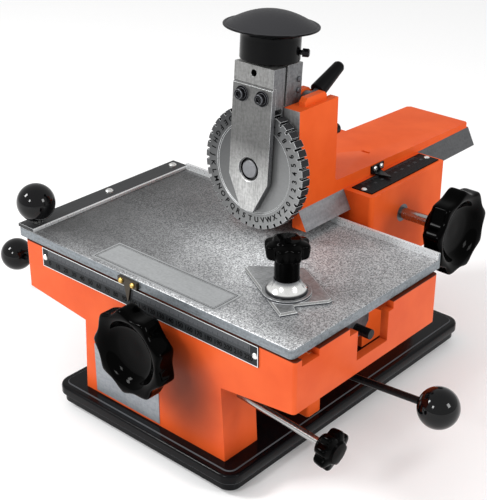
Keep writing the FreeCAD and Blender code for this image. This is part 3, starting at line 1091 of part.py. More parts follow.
copies("head_screws", small_screw, [
    head_frame.multiply(spot(d.column_half, d.column_rear - 4, high, (0, 1, 0), 90))
    for high in (d.head_screw_low, d.head_screw_high)])
screw_bores = sketch(head, "side_screw_bores", "YZ", d.column_half + 1)
for high in (d.head_screw_low, d.head_screw_high):
    circle(screw_bores, d.column_rear - 4, high, d.screw_bore)
pocket(head, "side_screw_holes", screw_bores, 4, False)

# character dial: slotted rim, one blank type face for each slot pitch, web and hub
dial = new_body("character_dial")
dial_sketch = sketch(dial, "dial_profile", "XZ")
web_front = d.dial_thick - d.dial_step
outline(dial_sketch, [(d.axle_rad, web_front - d.dial_web), (d.axle_rad, web_front),
                      (d.dial_rim_in - 1, web_front),
                      (d.dial_rim_in, d.dial_thick), (d.dial_rad, d.dial_thick), (d.dial_rad, 0),
                      (d.dial_rim_in, 0), (d.dial_rim_in - 1, web_front - d.dial_web)])
revolve(dial, "dial_turned", dial_sketch)
slot = sketch(dial, "dial_slot", "XY", -1)
outline(slot, [(d.dial_rad - d.slot_deep, -d.slot_wide / 2), (d.dial_rad + 1, -d.slot_wide / 2 - 0.2),
               (d.dial_rad + 1, d.slot_wide / 2 + 0.2), (d.dial_rad - d.slot_deep, d.slot_wide / 2)])
one_slot = pocket(dial, "one_slot", slot, d.dial_thick + 2, True)
polar(dial, "dial_slots", [one_slot], slot, d.dial_slots)
# the dial's local +Z faces the front: it is turned so that this points along local -Y of the head
half_slot = Size("(180 / dims.dial_slots)", 180.0 / float(d.dial_slots))
dial.Placement = head_frame.multiply(spot(0, d.dial_thick, 0, (1, 0, 0), 90)).multiply(
    spot(0, 0, 0, (0, 0, 1), 90 - float(half_slot)))
pieces.append(dial)
axle = new_body("dial_axle")
axle_sketch = sketch(axle, "axle_profile", "XZ")
axle_back = d.column_rear - 5
axle_step = d.dial_step + d.dial_web + 0.4
axle_front = d.plate_out - d.axle_sunk
outline(axle_sketch, [(0, -axle_back), (d.bevel_bore, -axle_back), (d.bevel_bore, -axle_step),
                      (d.axle_rad, -axle_step), (d.axle_rad, -d.dial_step), (d.axle_face, -d.dial_step),
                      (d.axle_face, axle_front - 0.6), (d.axle_face - 0.6, axle_front), (0, axle_front)])
revolve(axle, "axle_turned", axle_sketch)
in_head(axle, 0, 0, 0, (1, 0, 0), 90)


# bevel pair between axle and spindle. Local +Z runs away from the point where the two axes meet
def bevel(label_text):
    result = new_body(label_text)
    far = d.bevel_rad
    near = d.bevel_near
    drawing = sketch(result, label_text + "_profile", "XZ")
    root_far = far - d.bevel_root
    root_near = root_far * near / far
    outline(drawing, [(d.bevel_bore, near), (root_near, near), (root_far, far), (d.bevel_hub, far),
                      (d.bevel_hub, far + d.bevel_back), (d.bevel_bore, far + d.bevel_back)])
    revolve(result, label_text + "_blank", drawing)
    sections = []
    for at, share in ((near, near / far), (far, size(1))):
        tooth = sketch(result, label_text + "_tooth_%d" % len(sections), "XY", at)
        low = (far - d.bevel_root) * share - 0.25
        top = (far + d.bevel_tip) * share
        outline(tooth, [(low, -0.56 * share), (top, -0.2 * share), (top, 0.2 * share), (low, 0.56 * share)])
        sections.append(tooth)
    one = result.newObject("PartDesign::AdditiveLoft", label_text + "_one_tooth")
    one.Profile = sections[0]
    one.Sections = [sections[1]]
    one.Ruled = True
    polar(result, label_text + "_teeth", [one], sections[0], d.bevel_teeth)
    return result


dial_gear = bevel("dial_gear")
spindle_gear = bevel("spindle_gear")
# the axle's gear looks back along the axle, the spindle's gear looks up; a tooth meets a gap
dial_gear.Placement = head_frame.multiply(spot(0, d.spindle_y, 0, (1, 0, 0), -90)).multiply(
    spot(0, 0, 0, (0, 0, 1), 90))
pieces.append(dial_gear)
spindle_gear.Placement = head_frame.multiply(spot(0, d.spindle_y, 0)).multiply(
    spot(0, 0, 0, (0, 0, 1), 90 + 180.0 / float(d.bevel_teeth)))
pieces.append(spindle_gear)

# hat knob: wide domed disc over a flared neck, its spindle and a small grip screw
hat = new_body("hat_knob")
hat_sketch = sketch(hat, "hat_profile", "XZ")
rim_top = d.hat_rim_z + d.hat_rim / 2
rim_low = d.hat_rim_z - d.hat_rim / 2
outline(hat_sketch, [(0, d.hat_low), (d.hat_neck - 1, d.hat_low), (d.hat_neck, d.hat_low + 1),
                     (d.hat_neck, rim_low - 6), (d.hat_neck + 1.8, rim_low - 3),
                     (d.hat_under - 1, rim_low - 1.4),
                     (d.hat_rad - 2, rim_low), (d.hat_rad, d.hat_rim_z - 0.5), (d.hat_rad - 0.8, rim_top),
                     (d.hat_rad - 2.2, rim_top, d.hat_rad / 2, rim_top + d.hat_dome * 0.74),
                     (1, rim_top + d.hat_dome), (0, rim_top + d.hat_dome)])
revolve(hat, "hat_turned", hat_sketch)
hat_bore = sketch(hat, "hat_bore", "XY", d.hat_low)
circle(hat_bore, 0, 0, d.spindle_rad)
pocket(hat, "hat_socket", hat_bore, 18, True)
spindle = new_body("hat_spindle")
spindle_sketch = sketch(spindle, "spindle_profile", "XZ")
spindle_low = d.bevel_rad + d.bevel_back
outline(spindle_sketch, [(0, d.bevel_near), (d.bevel_bore, d.bevel_near), (d.bevel_bore, spindle_low),
                         (d.spindle_rad, spindle_low), (d.spindle_rad, d.hat_low + 18), (0, d.hat_low + 18)])
revolve(spindle, "spindle_turned", spindle_sketch)
in_head(spindle, 0, d.spindle_y, 0)
hat_screw = new_body("hat_screw")
hat_screw_sketch = sketch(hat_screw, "hat_screw_profile", "XZ")
outline(hat_screw_sketch, [(0, -6), (2, -6), (2, 0), (2, 1.4), (d.hat_screw_rad, 1.8),
                           (d.hat_screw_rad, 1.4 + d.hat_screw_long),
                           (d.hat_screw_rad - 1, 2.2 + d.hat_screw_long),
                           (0, 2.2 + d.hat_screw_long)])
revolve(hat_screw, "hat_screw_turned", hat_screw_sketch)
hat_screw_way = math.radians(float(d.hat_screw_turn))
hat_screw_aim = FreeCAD.Vector(math.cos(hat_screw_way), math.sin(hat_screw_way), 0)
reach = float(d.hat_neck) - 0.1
hat_screw.Placement = head_frame.multiply(FreeCAD.Placement(
    FreeCAD.Vector(reach * hat_screw_aim.x, float(d.spindle_y) + reach * hat_screw_aim.y,
                   float(d.hat_screw_z)),
    FreeCAD.Rotation(FreeCAD.Vector(0, 0, 1), hat_screw_aim)))
pieces.append(hat_screw)
screw_hole = sketch(hat, "hat_screw_hole", "YZ", 0)
circle(screw_hole, 0, d.hat_screw_z, 2.1)
pocket(hat, "hat_screw_bore", screw_hole, d.hat_neck + 1, True)
in_head(hat, 0, d.spindle_y, 0, (0, 0, 1), d.hat_screw_turn)

# cam shaft in the ears; its eccentric stands behind the head and drives it forward
cam = new_body("cam_shaft")
cam_sketch = sketch(cam, "cam_round", "YZ", -d.ear_mid - d.ear_thick)
circle(cam_sketch, 0, 0, d.cam_shaft)
pad(cam, "cam_bar", cam_sketch, d.ear_mid + d.ear_thick + d.ear_out - d.ear_skin - d.knob_gap)
eccentric_sketch = sketch(cam, "eccentric", "YZ", -d.cam_half)
circle(eccentric_sketch, 0, -d.cam_throw, d.cam_rad)
pad(cam, "eccentric_disc", eccentric_sketch, 2 * d.cam_half)
place(cam, 0, d.cam_y, d.cam_z)
lever = new_body("press_lever")
hub_sketch = sketch(lever, "lever_hub", "YZ", d.lever_x - d.lever_thick / 2)
circle(hub_sketch, 0, 0, d.lever_hub)
pad(lever, "lever_boss", hub_sketch, d.lever_thick)
arm_sketch = sketch(lever, "lever_arm", "XZ", 1)
circle(arm_sketch, d.lever_x, 0, d.lever_core)
pad(lever, "lever_stem", arm_sketch, d.grip_end - 7, True)
lever_bore = sketch(lever, "lever_bore", "YZ", d.lever_x - d.lever_thick)
circle(lever_bore, 0, 0, d.cam_shaft)
pocket(lever, "lever_hole", lever_bore, 2 * d.lever_thick, True)
place(lever, 0, d.cam_y, d.cam_z, (1, 0, 0), d.lever_angle)
grip = new_body("lever_grip")
grip_sketch = sketch(grip, "grip_profile", "XZ")
outline(grip_sketch, [(d.lever_core, d.grip_start), (d.grip_rad - 1, d.grip_start),
                      (d.grip_rad, d.grip_start + 1),
                      (d.grip_tip, d.grip_end - 2), (d.grip_tip - 1.6, d.grip_end), (0, d.grip_end),
                      (0, d.grip_end - 6), (d.lever_core, d.grip_end - 6)])
revolve(grip, "grip_turned", grip_sketch)
lever_frame = spot(0, d.cam_y, d.cam_z, (1, 0, 0), d.lever_angle)
grip.Placement = lever_frame.multiply(spot(d.lever_x, 0, 0, (1, 0, 0), -90))
pieces.append(grip)

# spacing rod: screwed into the pedestal, falls a little towards its star knob
spacing_frame = FreeCAD.Placement(
    FreeCAD.Vector(float(d.spacing_x), float(d.spacing_y), float(d.spacing_z)),
    FreeCAD.Rotation(FreeCAD.Vector(0, 1, 0), 90 + float(d.spacing_fall)))
spacing_rod = document.addObject("Part::Cylinder", "spacing_rod")
spacing_rod.Label = "spacing_rod"
spacing_rod.setExpression("Radius", d.spacing_rad.text)
spacing_rod.setExpression("Height", d.spacing_in.text)
knob_back = d.spacing_neck_high + d.spacing_star_high / 2
rod_end = d.spacing_neck_high + 4 - knob_back
spacing_rod.Placement = spacing_frame.multiply(spot(0, 0, rod_end - d.spacing_in))
pieces.append(spacing_rod)
spacing_knob = star_knob("spacing_knob", d.spacing_rad, d.spacing_star_rad, d.spacing_star_high,
                         d.spacing_star_neck, d.spacing_neck_high, d.spacing_bite, d.spacing_bite_out)
spacing_knob.Placement = spacing_frame.multiply(spot(0, 0, -knob_back))
pieces.append(spacing_knob)

# release rod with its hub and two balls, tilted up to the right as it rests in the posts
turn_frame = spot(0, d.release_y, turn_z, (0, 1, 0), -d.release_tilt)
release_rod = document.addObject("Part::Cylinder", "release_rod")
release_rod.Label = "release_rod"
release_rod.setExpression("Radius", d.release_rad.text)
inset = d.ball_rad * 0.5
release_rod.setExpression("Height", (d.release_right + d.release_left - 2 * inset).text)
release_rod.Placement = turn_frame.multiply(spot(inset - d.release_left, 0, d.release_drop, (0, 1, 0), 90))
pieces.append(release_rod)
hub = new_body("release_hub")
release_hub_sketch = sketch(hub, "release_hub_outline", "XZ", -d.hub_wide / 2)
hub_top = d.release_drop + d.hub_up
outline(release_hub_sketch, [(-d.hub_half, 0, 0, -d.hub_down), (d.hub_half, 0), (d.hub_half, hub_top),
                             (-d.hub_half, hub_top)])
pad(hub, "release_hub_solid", release_hub_sketch, d.hub_wide)
hub_bore = sketch(hub, "release_hub_bore", "XZ", -d.hub_wide)
circle(hub_bore, 0, 0, d.pin_rad + d.fit_gap)
pocket(hub, "release_hub_hole", hub_bore, 2 * d.hub_wide, True)
hub_cross = sketch(hub, "release_hub_cross", "YZ", -d.hub_half - 1)
circle(hub_cross, 0, d.release_drop, d.release_rad)
pocket(hub, "release_hub_cross_hole", hub_cross, 2 * d.hub_half + 2, True)
hub.Placement = turn_frame
pieces.append(hub)
release_ball, release_bore, ball_flat = ball("release_ball")
circle(release_bore, 0, 0, d.release_rad)
pocket(release_ball, "release_thread", release_bore, ball_flat - inset, True)
copies("release_balls", release_ball, [
    turn_frame.multiply(spot(d.release_right, 0, d.release_drop, (0, 1, 0), 90)),
    turn_frame.multiply(spot(-d.release_left, 0, d.release_drop, (0, 1, 0), -90))])

document.recompute()

# checks on the finished document
bad = [item.Name for item in document.Objects if "Invalid" in item.State or "Error" in item.State]
if bad:
    raise RuntimeError("objects left invalid: %s" % bad)
for feature, before, sign in checks:
    if before is None or not hasattr(before, "Shape"):
        continue
    change = (feature.Shape.Volume - before.Shape.Volume) * sign
    if change <= 0:
        raise RuntimeError("%s changed the volume by %.3f" % (feature.Name, change))
for item in pieces:
    if item.Shape.isNull() or not item.Shape.isValid():
        raise RuntimeError("shape of %s is not valid" % item.Label)

# move everything to the origin on the floor under the middle of the overall box, and write the pieces
whole = Part.makeCompound([item.Shape for item in pieces]).BoundBox
cos_tilt = math.cos(tilt)
sin_tilt = math.sin(tilt)
right_end = float(d.release_right) * cos_tilt - float(d.release_drop) * sin_tilt + float(d.ball_rad)
left_end = -float(d.release_left) * cos_tilt - float(d.release_drop) * sin_tilt - float(d.ball_rad)
near_end = -float(d.front_stand_off + d.front_collar_long + d.wheel_thick)
shift = FreeCAD.Vector(-(right_end + left_end) / 2, -(near_end + float(d.ram_rear)) / 2, 0)
print("overall box", whole)
print("origin shift", shift)
print("ends from sizes", left_end, right_end, near_end)
os.makedirs("parts", exist_ok=True)
for item in pieces:
    shape = item.Shape.copy()
    shape.translate(shift)
    if shape.isNull() or not shape.isValid():
        raise RuntimeError("moved shape of %s is not valid" % item.Label)
    shape.exportStep("parts/%s.step" % item.Label)
print("pieces", len(pieces), "solids", sum(len(item.Shape.Solids) for item in pieces))
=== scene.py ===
import bpy
import bmesh
import json
import math
import numpy as np
from mathutils import Matrix, Vector

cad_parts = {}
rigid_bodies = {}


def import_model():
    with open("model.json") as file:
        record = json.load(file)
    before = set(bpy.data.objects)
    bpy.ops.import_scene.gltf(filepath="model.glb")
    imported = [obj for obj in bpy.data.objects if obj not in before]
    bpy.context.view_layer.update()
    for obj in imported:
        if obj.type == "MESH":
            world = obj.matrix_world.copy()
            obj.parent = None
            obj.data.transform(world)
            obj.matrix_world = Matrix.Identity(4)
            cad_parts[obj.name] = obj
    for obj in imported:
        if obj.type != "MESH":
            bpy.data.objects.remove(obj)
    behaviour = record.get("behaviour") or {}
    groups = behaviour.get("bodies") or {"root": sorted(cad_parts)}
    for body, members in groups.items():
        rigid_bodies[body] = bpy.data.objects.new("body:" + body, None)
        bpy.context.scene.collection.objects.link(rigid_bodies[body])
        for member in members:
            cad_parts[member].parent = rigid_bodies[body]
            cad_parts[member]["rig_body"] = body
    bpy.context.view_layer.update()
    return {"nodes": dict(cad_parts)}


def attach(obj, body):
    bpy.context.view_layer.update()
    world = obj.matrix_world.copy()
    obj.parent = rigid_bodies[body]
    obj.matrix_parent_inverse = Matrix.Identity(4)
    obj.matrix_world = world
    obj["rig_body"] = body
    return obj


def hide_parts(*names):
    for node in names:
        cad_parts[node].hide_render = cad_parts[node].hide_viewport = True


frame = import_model()
print("frame loaded:", len(frame["nodes"]), "nodes")

# Shapes are in millimetres of the stand's own layout: x = 0 its middle, y = 0 its front face, z = 0 the floor.
# Places inside materials, and the lamps, are in metres from the row's origin.
layoutShift = np.array([43.935095, -181.75, 0.0])   # from the stand's layout to the row's origin
millis = 1000.0   # millimetres in a metre


# small helpers

# sRGB hex to linear RGBA.
def toLinear(hexColour):
    parts = np.array([int(hexColour[i:i + 2], 16) for i in (1, 3, 5)]) / 255.0
    linear = np.where(parts <= 0.04045, parts / 12.92, ((parts + 0.055) / 1.055) ** 2.4)
    return (*[float(v) for v in linear], 1.0)


# One node with its settings. An input is a value or another node's socket, an output is a socket that it feeds,
# and stops are a colour ramp's (place, sRGB hex), first to last.
def addNode(tree, kind, inputs=None, outputs=None, stops=(), **settings):
    made = tree.nodes.new(kind)
    for key, value in settings.items():
        setattr(made, key, value)
    for key, value in (inputs or {}).items():
        if isinstance(value, bpy.types.NodeSocket):
            tree.links.new(value, made.inputs[key])
        else:
            made.inputs[key].default_value = value
    for key, socket in (outputs or {}).items():
        tree.links.new(made.outputs[key], socket)
    if stops:
        elements = made.color_ramp.elements
        for element, (place, colour) in zip(elements, (stops[0], stops[-1])):
            element.color = toLinear(colour)
            element.position = place
        for place, colour in stops[1:-1]:
            elements.new(place).color = toLinear(colour)
    return made


# A principled material and its object coordinates in metres.
def startMaterial(name, colour, **inputs):
    material = bpy.data.materials.new(name)
    material.use_nodes = True
    tree = material.node_tree
    shader = tree.nodes["Principled BSDF"]
    shader.inputs["Base Color"].default_value = toLinear(colour)
    for key, value in inputs.items():
        shader.inputs[key].default_value = value
    where = addNode(tree, "ShaderNodeTexCoord").outputs["Object"]
    return material, tree, shader, where


# A new object for a mesh, text, lamp or camera, linked to the scene.
def addObject(name, data):
    made = bpy.data.objects.new(name, data)
    bpy.context.scene.collection.objects.link(made)
    return made


# Carries an array of points through a 4 by 4 matrix.
def moved(points, matrix):
    table = np.array(matrix)
    return points @ table[:3, :3].T + table[:3, 3]


def turnX(degrees):
    return Matrix.Rotation(math.radians(degrees), 4, "X")


def turnY(degrees):
    return Matrix.Rotation(math.radians(degrees), 4, "Y")


def turnZ(degrees):
    return Matrix.Rotation(math.radians(degrees), 4, "Z")


def shiftBy(x, y, z):
    return Matrix.Translation((x, y, z))


# Links a piece, smooths it up to the crease angle and hangs it on its body.
def finishPiece(name, mesh, material, body, stands=(), crease=30, slot=None):
    piece = addObject(name, mesh)
    mesh.materials.append(material)
    mesh.shade_smooth()
    mesh.set_sharp_from_angle(angle=math.radians(crease))
    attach(piece, body)
    if stands:
        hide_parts(*stands)
    return piece


# Makes a piece of a surface's points and faces in layout millimetres, carried to its place by a matrix.
def addPiece(name, surface, material, body, matrix=None, **finish):
    points, faces = surface
    if matrix is not None:
        points = moved(points, matrix)
    mesh = bpy.data.meshes.new(name)
    mesh.from_pydata(((points + layoutShift) / millis).tolist(), [], [list(f) for f in faces])
    mesh.validate()
    return finishPiece(name, mesh, material, body, **finish)


# Joins many surfaces, each points and faces, into one.
def gathered(surfaces):
    start = 0
    pointList, faceList = [], []
    for points, faces in surfaces:
        pointList.append(points)
        faceList += [[i + start for i in f] for f in faces]
        start += len(points)
    return np.concatenate(pointList), faceList


# Quads between neighbouring rings and a fan at each end, as index arrays.
def gridFaces(rings, count):
    ring = np.arange(rings - 1)[:, None] * count
    j = np.arange(count)
    k = (j + 1) % count
    quads = np.stack([ring + j, ring + k, ring + count + k, ring + count + j], axis=-1).reshape(-1, 4)
    middle = rings * count
    first = np.stack([np.full(count, middle), k, j], axis=-1)
    top = (rings - 1) * count
    last = np.stack([np.full(count, middle + 1), top + j, top + k], axis=-1)
    return quads.tolist() + first.tolist() + last.tolist()


# Rings of points, each closed on itself, and each end closed by a point in its middle. Faces look outwards.
def closedRings(grid):
    rings, count = grid.shape[:2]
    points = np.concatenate([grid.reshape(-1, 3), grid[0].mean(axis=0)[None], grid[-1].mean(axis=0)[None]])
    faces = gridFaces(rings, count)
    corner = np.array([f[:3] for f in faces])
    a, b, c = points[corner[:, 0]], points[corner[:, 1]], points[corner[:, 2]]
    if np.einsum("ij,ij->i", a, np.cross(b, c)).sum() < 0:
        faces = [f[::-1] for f in faces]
    return points, faces


# A profile through corners (radius, height, rounding): each corner is cut by its rounding and filled with the
# quadratic curve (1 - s) ** 2 * start + 2 * s * (1 - s) * corner + s ** 2 * stop, in so many steps of s.
def roundedProfile(corners, steps):
    corners = np.array(corners, float)
    pointList = [corners[:1, :2]]
    for before, here, after in zip(corners[:-2], corners[1:-1], corners[2:]):
        into = before[:2] - here[:2]
        out = after[:2] - here[:2]
        cut = min(here[2], 0.49 * np.linalg.norm(into), 0.49 * np.linalg.norm(out))   # under half of either run
        if cut < 0.01:
            pointList.append(here[None, :2])
            continue
        start = here[:2] + into / np.linalg.norm(into) * cut
        stop = here[:2] + out / np.linalg.norm(out) * cut
        s = np.linspace(0, 1, steps)[:, None]
        pointList.append((1 - s) ** 2 * start + 2 * s * (1 - s) * here[:2] + s ** 2 * stop)
    pointList.append(corners[-1:, :2])
    return np.concatenate(pointList)


# Turns a profile about z: x = r cos t and y = r sin t, with r changed by shape(r, t) where one is given.
def turnedRings(profile, count, shape=None):
    t = np.linspace(0, 2 * np.pi, count, endpoint=False)
    r = np.repeat(profile[:, :1], count, axis=1)
    z = np.repeat(profile[:, 1:2], count, axis=1)
    if shape is not None:
        r = shape(r, t[None, :])
    return np.stack([r * np.cos(t), r * np.sin(t), z], axis=-1)


# Many upright boxes at once: each spans from its low corner to its high corner.
def boxSurface(low, high):
    low, high = np.atleast_2d(low).astype(float), np.atleast_2d(high).astype(float)
    pick = np.array([[0, 0, 0], [1, 0, 0], [1, 1, 0], [0, 1, 0], [0, 0, 1], [1, 0, 1], [1, 1, 1], [0, 1, 1]])
    points = np.where(pick[None] == 1, high[:, None], low[:, None]).reshape(-1, 3)
    side = np.array([[0, 3, 2, 1], [4, 5, 6, 7], [0, 1, 5, 4], [1, 2, 6, 5], [2, 3, 7, 6], [3, 0, 4, 7]])
    return points, (np.arange(len(low))[:, None, None] * 8 + side[None]).reshape(-1, 4).tolist()


# A rectangle drawn as four strips of one width, between two heights, in the x y plane.
def outlineSurface(left, right, front, back, wide, under, over):
    low = [(left, front), (left, back - wide), (left, front + wide), (right - wide, front + wide)]
    high = [(right, front + wide), (right, back), (left + wide, back - wide), (right, back - wide)]
    return boxSurface([(*corner, under) for corner in low], [(*corner, over) for corner in high])


softEdge = {"crease": 32, "segments": 2, "merge": 2e-6, "flat": 0.6}   # degrees, steps, metres, degrees


# A copy of a solid with its seams merged, its flat facets joined and a small round on its edges.
def softCopy(name, node, material, width, edge):
    source = frame["nodes"][node]
    mesh = source.data.copy()
    mesh.materials.clear()
    work = bmesh.new()
    work.from_mesh(mesh)
    bmesh.ops.remove_doubles(work, verts=work.verts, dist=softEdge["merge"])
    bmesh.ops.dissolve_limit(work, angle_limit=math.radians(softEdge["flat"]), verts=work.verts, edges=work.edges)
    work.to_mesh(mesh)
    work.free()
    piece = finishPiece(name, mesh, material, source["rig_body"], (node,), softEdge["crease"])
    mesh.materials.append(edge)
    bevel = piece.modifiers.new("edge round", "BEVEL")
    bevel.width = width / millis
    bevel.segments = softEdge["segments"]
    bevel.limit_method = "ANGLE"
    bevel.angle_limit = math.radians(softEdge["crease"])
    bevel.use_clamp_overlap = True
    bevel.harden_normals = True
    bevel.material = 1   # the rounds take the edge material
    return piece


# Gives the faces whose middle (millimetres) and normal pass the test another material.
def paintFaces(piece, material, test):
    mesh = piece.data
    count = len(mesh.polygons)
    centre, normal = np.zeros(count * 3), np.zeros(count * 3)
    slotOf = np.zeros(count, dtype=np.int32)
    mesh.polygons.foreach_get("center", centre)
    mesh.polygons.foreach_get("normal", normal)
    mesh.polygons.foreach_get("material_index", slotOf)
    mesh.materials.append(material)
    chosen = test(centre.reshape(-1, 3) * millis - layoutShift, normal.reshape(-1, 3))
    slotOf[chosen] = len(mesh.materials) - 1
    mesh.polygons.foreach_set("material_index", slotOf)


# A solid keeps its shape and gets a finished material.
def dressNode(node, material):
    holder = frame["nodes"][node]
    if not holder.material_slots:
        holder.data.materials.append(material)
    for slotHere in holder.material_slots:
        slotHere.link = "OBJECT"
        slotHere.material = material


# materials, each from what the real one is, some carrying painted light and shade; a noise scale of 1000 is a grain of
# 1 mm

# Painted shadow of the front handwheel on the body's front: where it is darkest and how far it reaches, with the share
# of the colour left in its core and at its rim. Then the heights of a painted shade that darkens the edge under the
# table.
wheelShadowPaint = {"middle": (0.083, -0.178, 0.071), "reach": (0.047, 0.05, 0.065), "core": 0.24, "rim": 0.94,
              "gapShadeFrom": 0.1392, "gapShadeFull": 0.1399, "gapShadeTop": 0.1415, "gapShadeShare": 0.12}


# Orange stoving enamel sprayed on cast iron: even colour, faint orange peel, soft highlight, and where a painted shade
# is given, a painted shadow that fades out round its middle and a painted dark line under the table.
def castEnamel(name, low, high, roughness, gloss, paintedShade=None):
    material, tree, shader, where = startMaterial(name, high, **{"Roughness": roughness, "Specular IOR Level": gloss})
    cloud = addNode(tree, "ShaderNodeTexNoise",
                    {"Vector": where, "Scale": 22.0, "Detail": 3.0, "Roughness": 0.55})   # 45 mm clouds
    tint = addNode(tree, "ShaderNodeValToRGB", {"Fac": cloud.outputs["Fac"]}, stops=[(0.35, low), (0.68, high)])
    shown = tint.outputs["Color"]
    # the painted shadow of the wheel, and the painted shade along the edge under the table
    if paintedShade is not None:
        away = addNode(tree, "ShaderNodeVectorMath", {0: where, 1: paintedShade["middle"]}, operation="SUBTRACT")
        spread = addNode(tree, "ShaderNodeVectorMath", {0: away.outputs["Vector"], 1: paintedShade["reach"]},
                         operation="DIVIDE")
        reach = addNode(tree, "ShaderNodeVectorMath", {0: spread.outputs["Vector"]}, operation="LENGTH")
        shadowShare = addNode(tree, "ShaderNodeMapRange", {
            "Value": reach.outputs["Value"], "From Min": 0.1, "To Min": paintedShade["core"], "From Max": 1.0,
            "To Max": paintedShade["rim"]}, interpolation_type="SMOOTHSTEP")
        height = addNode(tree, "ShaderNodeSeparateXYZ", {0: where}).outputs["Z"]
        rim = addNode(tree, "ShaderNodeMapRange", {
            "Value": height, "From Min": paintedShade["gapShadeFrom"], "To Min": 1.0, "From Max": paintedShade["gapShadeFull"],
            "To Max": paintedShade["gapShadeShare"]})
        above = addNode(tree, "ShaderNodeMath", {0: height, 1: paintedShade["gapShadeTop"]}, operation="GREATER_THAN")
        gapShade = addNode(tree, "ShaderNodeMath", {0: rim.outputs["Result"], 1: above.outputs[0]}, operation="MAXIMUM")
        both = addNode(tree, "ShaderNodeMath", {0: shadowShare.outputs["Result"], 1: gapShade.outputs[0]}, operation="MULTIPLY")
        shown = addNode(tree, "ShaderNodeVectorMath", {0: shown, 1: both.outputs[0]},
                        operation="MULTIPLY").outputs["Vector"]
    tree.links.new(shown, shader.inputs["Base Color"])
    peel = addNode(tree, "ShaderNodeTexNoise", {"Vector": where, "Scale": 420.0, "Detail": 2.0})   # 2.4 mm peel
    addNode(tree, "ShaderNodeBump", {"Height": peel.outputs["Fac"], "Strength": 0.05, "Distance": 0.0006},
            {"Normal": shader.inputs["Normal"]})
    return material


# Gloss black enamel on the base casting: deep, with a slightly wavy reflection and a breath of dust.
def plinthEnamel():
    material, tree, shader, where = startMaterial(
        "blackGlossEnamel", "#08080A", **{"Roughness": 0.22, "Specular IOR Level": 0.08, "Coat Weight": 0.05,
                                         "Coat Roughness": 0.1})
    wave = addNode(tree, "ShaderNodeTexNoise", {"Vector": where, "Scale": 60.0, "Detail": 2.0})   # 16 mm flow
    fine = addNode(tree, "ShaderNodeTexNoise", {"Vector": where, "Scale": 900.0, "Detail": 1.0})   # 1.1 mm dust
    both = addNode(tree, "ShaderNodeMath", {0: wave.outputs["Fac"], 1: fine.outputs["Fac"]}, operation="ADD")
    addNode(tree, "ShaderNodeBump", {"Height": both.outputs[0], "Strength": 0.06, "Distance": 0.0008},
            {"Normal": shader.inputs["Normal"]})
    addNode(tree, "ShaderNodeMapRange", {"Value": wave.outputs["Fac"], "To Min": 0.17, "To Max": 0.3},
            {"Result": shader.inputs["Roughness"]})
    return material


# Painted light on the table: the middle of a painted glare, then (place or distance in metres, brightness there) from
# the glare outwards, from the left end in painted shade to the right, and from the front edge with a painted sheen
# backwards.
tableLightPaint = {"middle": (0.065, -0.093, 0.149), "glare": ((0.02, 1.8), (0.085, 1.0)),
             "side": ((-0.08, 0.24), (0.1, 1.0)), "front": ((-0.181, 1.85), (-0.16, 1.0))}


# Bead-blasted and plated steel: a mottled grey grain of about 1 mm, cloudy, with a painted glare in the middle, a
# painted sheen along the front edge and painted shade towards the left end.
def blastedPlate(paintedLight):
    material, tree, shader, where = startMaterial(
        "blastedZincPlate", "#A5A6A7", **{"Metallic": 0.35, "Roughness": 0.48})
    grain = addNode(tree, "ShaderNodeTexNoise", {"Vector": where, "Scale": 950.0, "Detail": 2.0, "Roughness": 0.7})
    cloud = addNode(tree, "ShaderNodeTexNoise", {"Vector": where, "Scale": 26.0, "Detail": 3.0})   # 38 mm clouds
    away = addNode(tree, "ShaderNodeVectorMath", {0: where, 1: paintedLight["middle"]}, operation="DISTANCE")
    split = addNode(tree, "ShaderNodeSeparateXYZ", {0: where})
    shade = addNode(tree, "ShaderNodeMapRange", {
        "Value": cloud.outputs["Fac"], "From Min": 0.3, "From Max": 0.7, "To Min": 0.82, "To Max": 1.1}).outputs[0]
    for key, value, blend in (("glare", away.outputs["Value"], "SMOOTHSTEP"), ("side", split.outputs["X"], "LINEAR"),
                              ("front", split.outputs["Y"], "LINEAR")):
        (near, nearTone), (far, farTone) = paintedLight[key]
        share = addNode(tree, "ShaderNodeMapRange", {"Value": value, "From Min": near, "To Min": nearTone,
                                                     "From Max": far, "To Max": farTone}, interpolation_type=blend)
        shade = addNode(tree, "ShaderNodeMath", {0: shade, 1: share.outputs["Result"]},
                        operation="MULTIPLY").outputs[0]
    speck = addNode(tree, "ShaderNodeValToRGB", {"Fac": grain.outputs["Fac"]},
                    stops=[(0.37, "#58595B"), (0.66, "#C6C7C8")])
    addNode(tree, "ShaderNodeVectorMath", {0: speck.outputs["Color"], 1: shade},
            {"Vector": shader.inputs["Base Color"]}, operation="MULTIPLY")
    addNode(tree, "ShaderNodeMapRange", {
        "Value": grain.outputs["Fac"], "From Min": 0.3, "From Max": 0.7, "To Min": 0.34, "To Max": 0.52},
        {"Result": shader.inputs["Roughness"]})
    addNode(tree, "ShaderNodeBump", {"Height": grain.outputs["Fac"], "Strength": 0.25, "Distance": 0.0003},
            {"Normal": shader.inputs["Normal"]})
    return material


